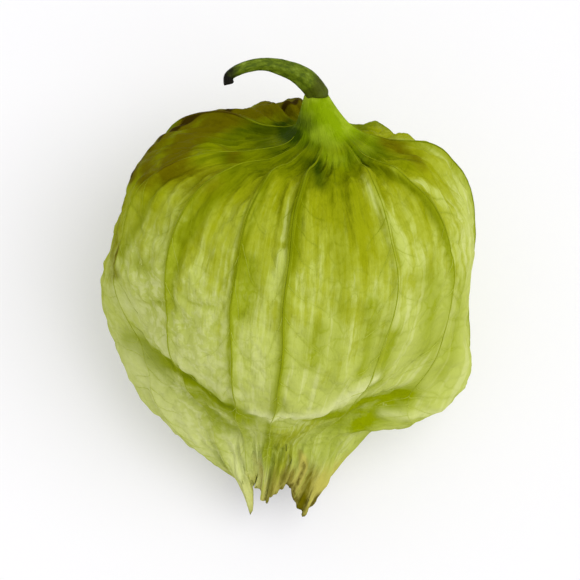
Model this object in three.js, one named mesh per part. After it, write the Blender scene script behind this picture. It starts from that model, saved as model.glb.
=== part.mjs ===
// A tomatillo, picked with its stem and lying on its side: a round berry inside the
// papery husk that grew around it, hung from a hooked stem.
//
// Millimetres, +Z up. The origin is the middle of the flat on which the husk rests, straight
// below the middle of the berry. The stem end points along +Y and is tipped up from the table,
// the open tip of the husk points along -Y and just touches it, and +X is the right-hand side.
//
// Shapes are first laid out about the fruit's own axis, which runs through the middle of the
// berry: "along" counts from there towards the stem, and "azimuth" goes round the axis from the
// upper side (0) by the right (90), the underside (180) and the left (270 degrees).

import * as THREE from "three";

const radians = THREE.MathUtils.degToRad;
const { smoothstep, lerp } = THREE.MathUtils;

// ---- driving dimensions -------------------------------------------------------------------

const LEAN = radians(30); // how far the stem end is tipped up
const BERRY_RADIUS = 19.0; // across the fruit's axis
const BERRY_HALF_HEIGHT = 18.2; // along the fruit's axis
const BERRY_SQUARENESS = 2.15; // 2 is an ellipse, more is blunter at the ends
const HUSK_WALL = 0.5;
const CLEARANCE = 0.35; // between two pieces that touch
const REST_SETTLE = 0.15; // extra height of the berry over the husk that it presses flat
const CENTRE_HEIGHT = BERRY_RADIUS + CLEARANCE + HUSK_WALL + REST_SETTLE;

// The husk's outline [radius, along] at the same stations on four sides, from the collar at
// the stem over the shoulder and the belly to the mouth at the tip.
const UPPER = [[1.7, 25.8], [3.9, 21.0], [7.8, 18.8], [12.4, 18.2], [17.4, 12.8], [20.1, 3.5],
  [19.2, -6.5], [15.2, -13.6], [12.0, -17.0], [9.0, -19.8], [6.9, -22.6], [5.4, -25.9],
  [3.8, -29.6]];
const RIGHT = [[1.7, 25.8], [4.6, 21.4], [9.4, 20.0], [16.8, 19.8], [22.3, 15.4], [24.7, 7.4],
  [24.9, -2.8], [26.3, -10.4], [24.2, -16.0], [19.4, -18.8], [14.0, -20.4], [11.0, -24.6],
  [7.8, -29.4]];
const UNDER = [[1.7, 25.8], [4.2, 21.0], [8.4, 18.4], [12.8, 17.2], [18.4, 13.2], [20.9, 4.6],
  [20.8, -4.0], [18.6, -10.4], [15.6, -14.8], [12.2, -18.4], [9.2, -21.8], [7.0, -25.2],
  [5.6, -28.6]];
const LEFT = [[1.7, 25.8], [3.9, 20.8], [8.4, 18.2], [15.6, 17.4], [21.6, 13.6], [23.0, 4.8],
  [24.6, -3.0], [23.2, -10.4], [20.3, -15.8], [16.8, -20.8], [12.7, -24.4], [8.4, -27.4],
  [4.3, -29.8]];
const SIDES = [UPPER, RIGHT, UNDER, LEFT].map(
  (outline) => new THREE.SplineCurve(outline.map(([r, a]) => new THREE.Vector2(r, a))),
);
const COLLAR_OFFSET = [1.8, 3.2]; // how far right of the axis the collar's top and foot sit

// The shoulder stands up towards the stem on the side that lies on the table.
const RAISED_SHOULDER = { azimuth: 200, halfAngle: 66, height: 2.9 };

// Azimuth away from the upper side, at the same stations, where the surface leaves the berry
// for the wing on the right and on the left.
const RIGHT_WING_FROM = [0, 0, 0, 0, 0, 6, 42, 60, 58, 44, 26, 8, 0];
const LEFT_WING_FROM = [0, 0, 0, 0, 0, 12, 62, 62, 46, 28, 14, 4, 0];

// The husk's ten main veins: azimuths at the shoulder, the belly and the mouth.
const RIBS = [[-60, -75, -66], [-38, -47, -46], [-19, -17, -26], [3, 2, 0], [37, 42, 46],
  [54, 70, 86], [90, 100, 112], [138, 140, 146], [188, 190, 190], [236, 238, 242]];
const RIB_HEIGHT = 0.45;
const PANEL_SAG = 0.5; // how far a panel sinks between two ribs
const TEETH = [ // the five teeth at the husk's mouth
  { azimuth: -35, length: 4.8, halfAngle: 15 },
  { azimuth: 12, length: 2.5, halfAngle: 24 },
  { azimuth: 62, length: 4.0, halfAngle: 22 },
  { azimuth: 155, length: 2.0, halfAngle: 30 },
  { azimuth: 235, length: 2.0, halfAngle: 30 },
];
const HUG_BLEND = 0.8; // how softly the husk leaves the berry that it lies on
const OUTER_STATIONS = 36; // facets from collar to mouth
const INNER_STATIONS = 18;
const PANEL_FACETS = 6; // facets from rib to rib

// The stem's middle line [right, up, along] about the fruit's axis, and its radius there.
const STEM_LINE = [
  { at: [3.1, 0, 19.8], radius: 1.1 },
  { at: [2.6, 0, 22.8], radius: 1.0 },
  { at: [1.95, 0, 25.6], radius: 0.8 },
  { at: [1.5, 0.1, 26.9], radius: 1.5 },
  { at: [-0.1, 0.6, 28.5], radius: 1.46 },
  { at: [-2.3, 1.5, 29.8], radius: 1.2 },
  { at: [-5.4, 2.6, 30.5], radius: 0.92 },
  { at: [-8.3, 3.8, 30.0], radius: 0.78 },
  { at: [-9.9, 4.5, 28.9], radius: 0.7 },
  { at: [-9.7, 4.9, 27.9], radius: 0.66 },
];
const RECEPTACLE_RADIUS = 2.5; // the knob inside the husk that holds the berry
const RECEPTACLE_LENGTH = 1.2;
const STEM_STEPS = 36;
const STEM_SIDES = 12;

// ---- frames and small tools ---------------------------------------------------------------

// A point about the fruit's axis in the part's frame.
function place(right, up, along) {
  const y = along * Math.cos(LEAN) - up * Math.sin(LEAN);
  const z = along * Math.sin(LEAN) + up * Math.cos(LEAN);
  return new THREE.Vector3(right, y, z + CENTRE_HEIGHT);
}

// The larger of two lengths, with the corner between them rounded over a width of k.
function softMax(a, b, k) {
  const near = Math.max(k - Math.abs(a - b), 0) / k;
  return Math.max(a, b) + (near * near * k) / 4;
}

function angleBetween(a, b) {
  return Math.abs(THREE.MathUtils.euclideanModulo(a - b + 180, 360) - 180);
}

function ringMiddle(ring) {
  return ring.reduce((sum, p) => sum.add(p), new THREE.Vector3()).divideScalar(ring.length);
}

// The surface over rings of equal size: joined end to start, or capped at both ends.
function surfaceOfRings(rings, { looped }) {
  const count = rings[0].length;
  const points = rings.flat();
  const index = [];
  const strips = looped ? rings.length : rings.length - 1;
  for (let i = 0; i < strips; i++) {
    const here = i * count;
    const next = ((i + 1) % rings.length) * count;
    for (let j = 0; j < count; j++) {
      const k = (j + 1) % count;
      index.push(here + j, next + j, next + k, here + j, next + k, here + k);
    }
  }
  if (!looped) {
    const last = (rings.length - 1) * count;
    points.push(ringMiddle(rings[0]), ringMiddle(rings.at(-1)));
    for (let j = 0; j < count; j++) {
      const k = (j + 1) % count;
      index.push(last + count, j, k, last + count + 1, last + k, last + j);
    }
  }
  const geometry = new THREE.BufferGeometry().setFromPoints(points).setIndex(index);
  geometry.computeVertexNormals();
  return geometry;
}

function finish(color, roughness) {
  return new THREE.MeshStandardMaterial({ color, roughness, metalness: 0 });
}

// ---- berry --------------------------------------------------------------------------------

function makeBerry() {
  const steps = 16;
  const power = 2 / BERRY_SQUARENESS;
  const profile = [];
  for (let i = 0; i <= steps; i++) {
    const polar = (Math.PI * i) / steps - Math.PI / 2;
    const across = i % steps === 0 ? 0 : Math.cos(polar) ** power;
    const along = Math.sign(polar) * Math.abs(Math.sin(polar)) ** power;
    profile.push(new THREE.Vector2(across * BERRY_RADIUS, along * BERRY_HALF_HEIGHT));
  }
  const berry = new THREE.Mesh(new THREE.LatheGeometry(profile, 36), finish(0x8fa83a, 0.3));
  berry.name = "berry";
  berry.rotation.x = LEAN;
  berry.position.z = CENTRE_HEIGHT;
  return berry;
}

// ---- husk ---------------------------------------------------------------------------------

function ribAzimuth([shoulder, belly, mouth], t) {
  return t < 0.5
    ? lerp(shoulder, belly, smoothstep(t, 0.1, 0.5))
    : lerp(belly, mouth, smoothstep(t, 0.5, 0.9));
}

// One ring of the husk's columns: one on each rib, and evenly spread ones between ribs.
function huskColumns(t) {
  return RIBS.flatMap((rib, i) => {
    const start = ribAzimuth(rib, t);
    const next = ribAzimuth(RIBS[(i + 1) % RIBS.length], t);
    const width = THREE.MathUtils.euclideanModulo(next - start, 360);
    return Array.from({ length: PANEL_FACETS }, (_, n) => ({
      azimuth: start + (width * n) / PANEL_FACETS,
      across: n / PANEL_FACETS,
    }));
  });
}

const [rightWing, leftWing] = [RIGHT_WING_FROM, LEFT_WING_FROM].map(
  (stations) => new THREE.SplineCurve(stations.map((azimuth, i) => new THREE.Vector2(i, azimuth))),
);

// The husk's outline between the four sides. Below the belly it keeps to the upper side's
// line until, some way round, a side's wing stands out.
function outlineAt(t, azimuth) {
  const [upper, right, under, left] = SIDES;
  const isRight = THREE.MathUtils.euclideanModulo(azimuth, 360) <= 180;
  const fromTop = angleBetween(azimuth, 0) / 90;
  const point = (isRight ? right : left).getPoint(t);
  if (fromTop <= 1) {
    const from = Math.max((isRight ? rightWing : leftWing).getPoint(t).y, 0) / 90;
    return upper.getPoint(t).lerp(point, smoothstep(fromTop, from, 1));
  }
  return point.lerp(under.getPoint(t), smoothstep(fromTop - 1, 0, 1));
}

// How far the raised shoulder lifts the husk towards the stem.
function shoulderLift(t, azimuth) {
  const { azimuth: middle, halfAngle, height } = RAISED_SHOULDER;
  const away = Math.min(angleBetween(azimuth, middle) / halfAngle, 1);
  const around = Math.cos((Math.PI / 2) * away) ** 2;
  return height * around * smoothstep(t, 0.12, 0.24) * (1 - smoothstep(t, 0.27, 0.45));
}

// How far the teeth at the mouth reach beyond the outline.
function toothReach(t, azimuth) {
  const longest = TEETH.reduce((most, { azimuth: middle, length, halfAngle }) => {
    return Math.max(most, length * (1 - angleBetween(azimuth, middle) / halfAngle));
  }, 0);
  return longest * smoothstep(t, 0.88, 1);
}

// A point of the husk's outer face: the outline, pushed out where it would cut the berry, with
// a ridge on each rib, the raised shoulder, the teeth, and the collar set to the right.
function huskPoint(t, { azimuth, across }) {
  const outline = outlineAt(t, azimuth);
  const reach = outline.length();
  const hug = BERRY_RADIUS + CLEARANCE + HUSK_WALL;
  const fade = smoothstep(t, 0.1, 0.3) * (1 - smoothstep(t, 0.8, 1));
  const relief = across === 0 ? RIB_HEIGHT : -PANEL_SAG * Math.sin(Math.PI * across);
  outline.multiplyScalar(softMax(reach + relief * fade, hug, HUG_BLEND) / reach);
  const along = outline.y + shoulderLift(t, azimuth) - toothReach(t, azimuth);
  const turn = radians(azimuth);
  const [top, foot] = COLLAR_OFFSET;
  const shift = lerp(top, foot, smoothstep(t, 0, 0.12)) * (1 - smoothstep(t, 0.08, 0.32));
  const point = place(outline.x * Math.sin(turn) + shift, outline.x * Math.cos(turn), along);
  point.z = Math.max(point.z, 0);
  return point;
}

// The point of the husk's inner face below a point of its outer face.
function innerPoint(t, j) {
  const step = 0.5 / OUTER_STATIONS;
  const ring = huskColumns(t);
  const point = huskPoint(t, ring[j]);
  const from = Math.max(t - step, 0);
  const to = Math.min(t + step, 1);
  const along = huskPoint(to, huskColumns(to)[j]).sub(huskPoint(from, huskColumns(from)[j]));
  const around = huskPoint(t, ring[(j + 1) % ring.length]).sub(huskPoint(t, ring.at(j - 1)));
  const inner = point.sub(along.cross(around).setLength(HUSK_WALL));
  inner.z = Math.max(inner.z, HUSK_WALL);
  return inner;
}

function makeHusk() {
  const outer = Array.from({ length: OUTER_STATIONS + 1 }, (_, i) => {
    const t = i / OUTER_STATIONS;
    return huskColumns(t).map((column) => huskPoint(t, column));
  });
  const inner = Array.from({ length: INNER_STATIONS + 1 }, (_, i) => {
    const t = 1 - i / INNER_STATIONS;
    return huskColumns(t).map((_, j) => innerPoint(t, j));
  });
  const surface = surfaceOfRings([...outer, ...inner], { looped: true });
  const husk = new THREE.Mesh(surface, finish(0xb9c25f, 0.6));
  husk.name = "husk";
  return husk;
}

// ---- stem ---------------------------------------------------------------------------------

function makeStem() {
  const line = new THREE.CatmullRomCurve3(STEM_LINE.map(({ at }) => place(...at)));
  const radii = new THREE.SplineCurve(STEM_LINE.map(({ radius }, i) => {
    return new THREE.Vector2(i / (STEM_LINE.length - 1), radius);
  }));
  const frames = line.computeFrenetFrames(STEM_STEPS, false);
  const ringAt = (middle, step, radius) => Array.from({ length: STEM_SIDES }, (_, j) => {
    const turn = (-2 * Math.PI * j) / STEM_SIDES;
    return middle.clone()
      .addScaledVector(frames.normals[step], radius * Math.cos(turn))
      .addScaledVector(frames.binormals[step], radius * Math.sin(turn));
  });
  const foot = line.getPoint(0);
  const [right, up, along] = STEM_LINE[0].at;
  const rings = [
    ringAt(place(right, up, along - RECEPTACLE_LENGTH), 0, RECEPTACLE_RADIUS),
    ringAt(foot, 0, RECEPTACLE_RADIUS),
  ];
  for (let step = 0; step <= STEM_STEPS; step++) {
    const t = line.getUtoTmapping(step / STEM_STEPS);
    rings.push(ringAt(line.getPoint(t), step, radii.getPoint(t).y));
  }
  const stem = new THREE.Mesh(surfaceOfRings(rings, { looped: false }), finish(0x6f8420, 0.55));
  stem.name = "stem";
  return stem;
}

// ---- the whole fruit ----------------------------------------------------------------------

const tomatillo = new THREE.Group();
tomatillo.add(makeHusk(), makeBerry(), makeStem());

export default tomatillo;
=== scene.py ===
"""The looks of a tomatillo: papery husk with its veins, hooked stalk and the berry inside.

Lengths in the classes are millimetres about the fruit's own axis: "along" counts from the
middle of the berry towards the stalk, and "azimuth" goes round the axis from the upper side
(0 degrees) by the right (90), the underside (180) and the left (270). A "station" runs from 0
at the husk's collar to 1 at its mouth. Every mesh is turned into the part's frame, in metres.
"""

import logging
import math
from dataclasses import dataclass
from enum import Enum
from typing import Any, Sequence

import bpy
import numpy as np
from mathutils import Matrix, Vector

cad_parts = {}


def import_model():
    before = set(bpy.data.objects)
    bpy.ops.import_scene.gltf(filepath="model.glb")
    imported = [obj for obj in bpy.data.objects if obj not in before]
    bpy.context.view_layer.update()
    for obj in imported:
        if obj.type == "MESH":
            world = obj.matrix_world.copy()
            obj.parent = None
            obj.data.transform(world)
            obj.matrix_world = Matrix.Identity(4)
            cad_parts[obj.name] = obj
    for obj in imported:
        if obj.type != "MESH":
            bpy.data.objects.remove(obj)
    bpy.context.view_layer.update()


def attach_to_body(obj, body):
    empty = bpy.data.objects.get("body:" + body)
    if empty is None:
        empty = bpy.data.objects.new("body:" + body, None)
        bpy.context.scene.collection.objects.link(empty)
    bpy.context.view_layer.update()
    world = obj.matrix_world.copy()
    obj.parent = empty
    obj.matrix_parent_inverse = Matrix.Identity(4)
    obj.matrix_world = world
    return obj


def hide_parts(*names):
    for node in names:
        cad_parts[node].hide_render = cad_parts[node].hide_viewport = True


LOG = logging.getLogger("tomatillo")
MILLIMETRE = 0.001
LEAN = math.radians(30.0)  # how far the fruit's axis rises from the table towards the stalk
CENTRE_HEIGHT = 20.0
SIDE, UNDERSIDE, FULL_TURN = 90.0, 180.0, 360.0  # degrees round the fruit's axis

Grid = np.ndarray
Span = tuple[float, float]
Spans = tuple[Span, Span]
Colour = tuple[float, float, float, float]


class Tint(Enum):
    """A colour field that is painted on the husk and read by its finish."""

    DEEP_SHADE = "deep"  # painted shade: dark green in the hollow beside the collar and in creases
    FOLD_SHADE = "fold_shade"  # painted shade: full, darker green in the folds and valleys
    PALE_HIGHLIGHT = "pale"  # painted highlight on rims, lips and raised edges
    DRY = "dry"  # olive-brown, where the leaf has withered; along the crest and the left edge also painted shade
    STRAW = "straw"  # light brown, at the mouth
    FRESH = "fresh"  # bright green, near the stalk
    OLIVE = "olive"  # darker, fuller colour: the veins' bands, and painted shade in creases and folds
    LIGHT = "light"  # where the leaf turns pale earlier; beside the ribs this is painted highlight


class Slot(Enum):
    """The record's material slots."""

    HUSK = "husk"
    BERRY = "berry"
    STEM = "stem"


# ---- numbers and surfaces ------------------------------------------------------------------


def smooth_step(value: Any, low: float, high: float) -> Any:
    """Return 0 below low, 1 above high and a smooth rise between them."""
    share = np.clip((value - low) / (high - low), 0.0, 1.0)
    return share * share * (3.0 - 2.0 * share)


def plateau(value: Any, rise: Span, fall: Span) -> Any:
    """Return 0, a smooth rise to 1 over the first span and a fall back to 0 over the second."""
    return smooth_step(value, *rise) * (1.0 - smooth_step(value, *fall))


def bell(value: Any, width: float) -> Any:
    """Return 1 at 0, falling smoothly to nearly 0 two widths away."""
    return np.exp(-((value / width) ** 2))


def soft_max(first: Any, second: Any, blend: float) -> Any:
    """Return the larger of two values, with the corner between them rounded over blend."""
    near = np.maximum(blend - np.abs(first - second), 0.0) / blend
    return np.maximum(first, second) + near * near * blend / 4.0


def angle_between(first: Any, second: Any) -> Any:
    """Return the angle between two azimuths, 0 to 180 degrees."""
    return np.abs(np.mod(first - second + UNDERSIDE, FULL_TURN) - UNDERSIDE)


def catmull_rom(points: Any, share: Grid) -> Grid:
    """Follow a smooth line through evenly spaced points.

    Args:
        points: the line's points, one a row.
        share: how far along the line, from 0 to 1.

    Returns:
        A point for each share.
    """
    line = np.asarray(points, float)
    last = len(line) - 1
    place = np.clip(share, 0.0, 1.0) * last
    start = np.minimum(place.astype(int), last - 1)
    w = (place - start)[..., None]
    p0, p1 = line[np.maximum(start - 1, 0)], line[start]
    p2, p3 = line[start + 1], line[np.minimum(start + 2, last)]
    v0, v1 = (p2 - p0) / 2.0, (p3 - p1) / 2.0
    cubic, square = 2 * p1 - 2 * p2 + v0 + v1, 3 * p2 - 3 * p1 - 2 * v0 - v1
    return cubic * w**3 + square * w**2 + v0 * w + p1


def to_part(right: Any, up: Any, along: Any) -> Grid:
    """Turn a place about the fruit's axis into the part's frame, still in millimetres."""
    y = along * math.cos(LEAN) - up * math.sin(LEAN)
    z = along * math.sin(LEAN) + up * math.cos(LEAN) + CENTRE_HEIGHT
    return np.stack(np.broadcast_arrays(np.asarray(right, float), y, z), axis=-1)


def grid_normals(grid: Grid) -> Grid:
    """Return unit normals of a grid whose columns go round, outwards from its axis."""
    down = np.gradient(grid, axis=0)
    sideways = np.roll(grid, -1, axis=1) - np.roll(grid, 1, axis=1)
    normals = np.cross(down, sideways)
    return normals / np.maximum(np.linalg.norm(normals, axis=2, keepdims=True), 1e-9)


def sample(grid: Grid, row: Grid, column: Grid) -> Grid:
    """Read a grid between its points.

    Args:
        grid: values by row and column, where the columns go round.
        row: rows to read at, whole or not.
        column: columns to read at, whole or not.

    Returns:
        A value for each row and column.
    """
    rows, count = grid.shape[:2]
    top = np.clip(row.astype(int), 0, rows - 2)
    left = np.floor(column).astype(int)
    extra = (slice(None),) + (None,) * (grid.ndim - 2)
    down, over = (row - top)[extra], (column - left)[extra]
    near, far = left % count, (left + 1) % count
    upper = grid[top, near] * (1.0 - over) + grid[top, far] * over
    lower = grid[top + 1, near] * (1.0 - over) + grid[top + 1, far] * over
    return upper * (1.0 - down) + lower * down


def distance_to_path(grid: Grid, path: Grid) -> Grid:
    """Return the distance from each point of a grid to a path of straight stretches."""
    best = np.full(grid.shape[:-1], np.inf)
    for start, end in zip(path[:-1], path[1:]):
        run = end - start
        share = np.clip(((grid - start) @ run) / max(float(run @ run), 1e-9), 0.0, 1.0)
        gap = np.linalg.norm(grid - (start + share[..., None] * run), axis=-1)
        best = np.minimum(best, gap)
    return best


@dataclass(frozen=True)
class Ripples:
    """Smooth noise in space, made of random waves of about one length.

    Attributes:
        seed: fixes the draw.
        length: the usual distance from crest to crest.
        waves: how many are added.
        pitch_range: the shortest and longest pitch drawn, as shares of the usual one.
        evening: brings the sum of the waves to about -1 to 1.
        sharpness: how narrow the creases of the ridged noise are.
    """

    seed: int
    length: float
    waves: int = 36
    pitch_range: Span = (0.7, 1.4)
    evening: float = 1.4
    sharpness: float = 4.0

    def at(self, points: Grid) -> Grid:
        """Return the noise at points, about -1 to 1."""
        draw = np.random.default_rng(self.seed)
        turns = draw.normal(size=(self.waves, 3))
        turns /= np.linalg.norm(turns, axis=1, keepdims=True)
        pitch = draw.uniform(*self.pitch_range, size=(self.waves, 1)) / self.length
        vectors = 2.0 * math.pi * turns * pitch
        phases = draw.uniform(0.0, 2.0 * math.pi, size=self.waves)
        total = np.zeros(points.shape[:-1])
        for vector, phase in zip(vectors, phases):
            total += np.cos(points @ vector + phase)
        return total / math.sqrt(self.waves / self.evening)

    def creased(self, points: Grid) -> Grid:
        """Return ridged noise: 0 on broad faces, towards -1 in narrow creases."""
        return -np.exp(-np.abs(self.at(points)) * self.sharpness)


# ---- meshes --------------------------------------------------------------------------------


def make_object(name: str, mesh: bpy.types.Mesh) -> bpy.types.Object:
    """Put a mesh into the scene as an object at the origin."""
    thing = bpy.data.objects.new(name, mesh)
    bpy.context.scene.collection.objects.link(thing)
    return thing


def add_numbers(mesh: bpy.types.Mesh, name: str, values: Grid) -> None:
    """Give a mesh a number for each of its points."""
    layer = mesh.attributes.new(name, "FLOAT", "POINT")
    layer.data.foreach_set("value", values.reshape(-1).astype(np.float32))


def add_vectors(mesh: bpy.types.Mesh, name: str, values: Grid) -> None:
    """Give a mesh a vector for each of its points."""
    layer = mesh.attributes.new(name, "FLOAT_VECTOR", "POINT")
    layer.data.foreach_set("vector", values.reshape(-1).astype(np.float32))


def closed_grid_mesh(grid: Grid, name: str) -> bpy.types.Mesh:
    """Join a grid that closes both ways into a smooth mesh in metres, with a UV map."""
    rows, count = grid.shape[:2]
    i, j = np.meshgrid(np.arange(rows), np.arange(count), indexing="ij")
    below, beside = (i + 1) % rows, (j + 1) % count
    corners = (i * count + j, below * count + j, below * count + beside, i * count + beside)
    quads = np.stack(corners, -1).reshape(-1, 4)
    mesh = bpy.data.meshes.new(name)
    mesh.from_pydata((grid.reshape(-1, 3) * MILLIMETRE).tolist(), [], quads.tolist())
    steps = ((0, 0), (0, 1), (1, 1), (1, 0))
    flat = np.stack([np.stack([(j + across) / count, (i + down) / rows], -1) for across, down in steps], 2)
    mesh.uv_layers.new(name="skin").data.foreach_set("uv", flat.reshape(-1).astype(np.float32))
    mesh.polygons.foreach_set("use_smooth", np.ones(len(quads), bool))
    mesh.update()
    return mesh


@dataclass
class Thread:
    """A line with a thickness: a vein of the husk, or the stalk.

    Attributes:
        points: the line's points in millimetres of the part's frame.
        radius: the thread's radius at each point.
        tone: how dark it is at each point, 0 to 1.
        dry: how withered it is at each point, 0 to 1.
    """

    points: Grid
    radius: Grid
    tone: Grid
    dry: Grid


def thread_mesh(name: str, threads: Sequence[Thread]) -> bpy.types.Mesh:
    """Join threads into one mesh of edges that carries their radius, tone and dryness."""
    mesh = bpy.data.meshes.new(name)
    edges, first = [], 0
    for thread in threads:
        edges += [(first + i, first + i + 1) for i in range(len(thread.points) - 1)]
        first += len(thread.points)
    points = np.concatenate([thread.points for thread in threads]) * MILLIMETRE
    mesh.from_pydata(points.tolist(), edges, [])
    add_numbers(mesh, "radius_here", np.concatenate([thread.radius for thread in threads]) * MILLIMETRE)
    add_numbers(mesh, "tone", np.concatenate([thread.tone for thread in threads]))
    add_numbers(mesh, "dry", np.concatenate([thread.dry for thread in threads]))
    return mesh


# ---- node graphs ---------------------------------------------------------------------------


class Graph:
    """A node tree that is written as calls: one method adds any node."""

    def __init__(self, tree: bpy.types.NodeTree) -> None:
        """Keep the tree to write into."""
        self.tree = tree

    def node(
        self, kind: str, settings: dict[str, Any] | None = None, sockets: dict[Any, Any] | None = None
    ) -> bpy.types.Node:
        """Add a node.

        Args:
            kind: the node's type.
            settings: its own settings, which are made first.
            sockets: values or links of its inputs, by name or number.

        Returns:
            The new node.
        """
        node = self.tree.nodes.new(kind)
        for key, value in (settings or {}).items():
            setattr(node, key, value)
        for key, value in (sockets or {}).items():
            self.feed(node.inputs[key], value)
        return node

    def feed(self, socket: bpy.types.NodeSocket, value: Any) -> None:
        """Link a socket, or set its value where a plain one is given."""
        if isinstance(value, Signal):
            self.tree.links.new(value.socket, socket)
        elif isinstance(value, bpy.types.NodeSocket):
            self.tree.links.new(value, socket)
        else:
            socket.default_value = value


class Signal:
    """A number that flows through a graph, with arithmetic that adds Math nodes."""

    def __init__(self, graph: Graph, socket: bpy.types.NodeSocket) -> None:
        """Wrap a node's output."""
        self.graph = graph
        self.socket = socket

    def math(self, operation: str, *others: Any, clamp: bool = False) -> "Signal":
        """Add a Math node whose first value is this signal."""
        return self.ordered(operation, (self, *others), clamp)

    def ordered(self, operation: str, values: Sequence[Any], clamp: bool = False) -> "Signal":
        """Add a Math node with the values in the given order."""
        settings = {"operation": operation, "use_clamp": clamp}
        node = self.graph.node("ShaderNodeMath", settings, dict(enumerate(values)))
        return Signal(self.graph, node.outputs[0])

    def __add__(self, other: Any) -> "Signal":
        """Add."""
        return self.math("ADD", other)

    __radd__ = __add__

    def __sub__(self, other: Any) -> "Signal":
        """Subtract."""
        return self.math("SUBTRACT", other)

    def __rsub__(self, other: Any) -> "Signal":
        """Subtract this from a number."""
        return self.ordered("SUBTRACT", (other, self))

    def __mul__(self, other: Any) -> "Signal":
        """Multiply."""
        return self.math("MULTIPLY", other)

    __rmul__ = __mul__

    def __truediv__(self, other: Any) -> "Signal":
        """Divide."""
        return self.math("DIVIDE", other)

    def __rtruediv__(self, other: Any) -> "Signal":
        """Divide a number by this."""
        return self.ordered("DIVIDE", (other, self))

    def __pow__(self, other: Any) -> "Signal":
        """Raise to a power."""
        return self.math("POWER", other)

    def clamped(self) -> "Signal":
        """Keep between 0 and 1."""
        return self.math("ADD", 0.0, clamp=True)

    def larger(self, other: Any) -> "Signal":
        """Return the larger of two."""
        return self.math("MAXIMUM", other)

    def step(self, low: float, high: float) -> "Signal":
        """Rise smoothly from 0 at low to 1 at high, or fall where low is the larger."""
        ends = (low, high, 0.0, 1.0) if low < high else (high, low, 1.0, 0.0)
        sockets = {0: self, **dict(enumerate(ends, start=1))}
        node = self.graph.node("ShaderNodeMapRange", {"interpolation_type": "SMOOTHSTEP"}, sockets)
        return Signal(self.graph, node.outputs[0])


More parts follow.
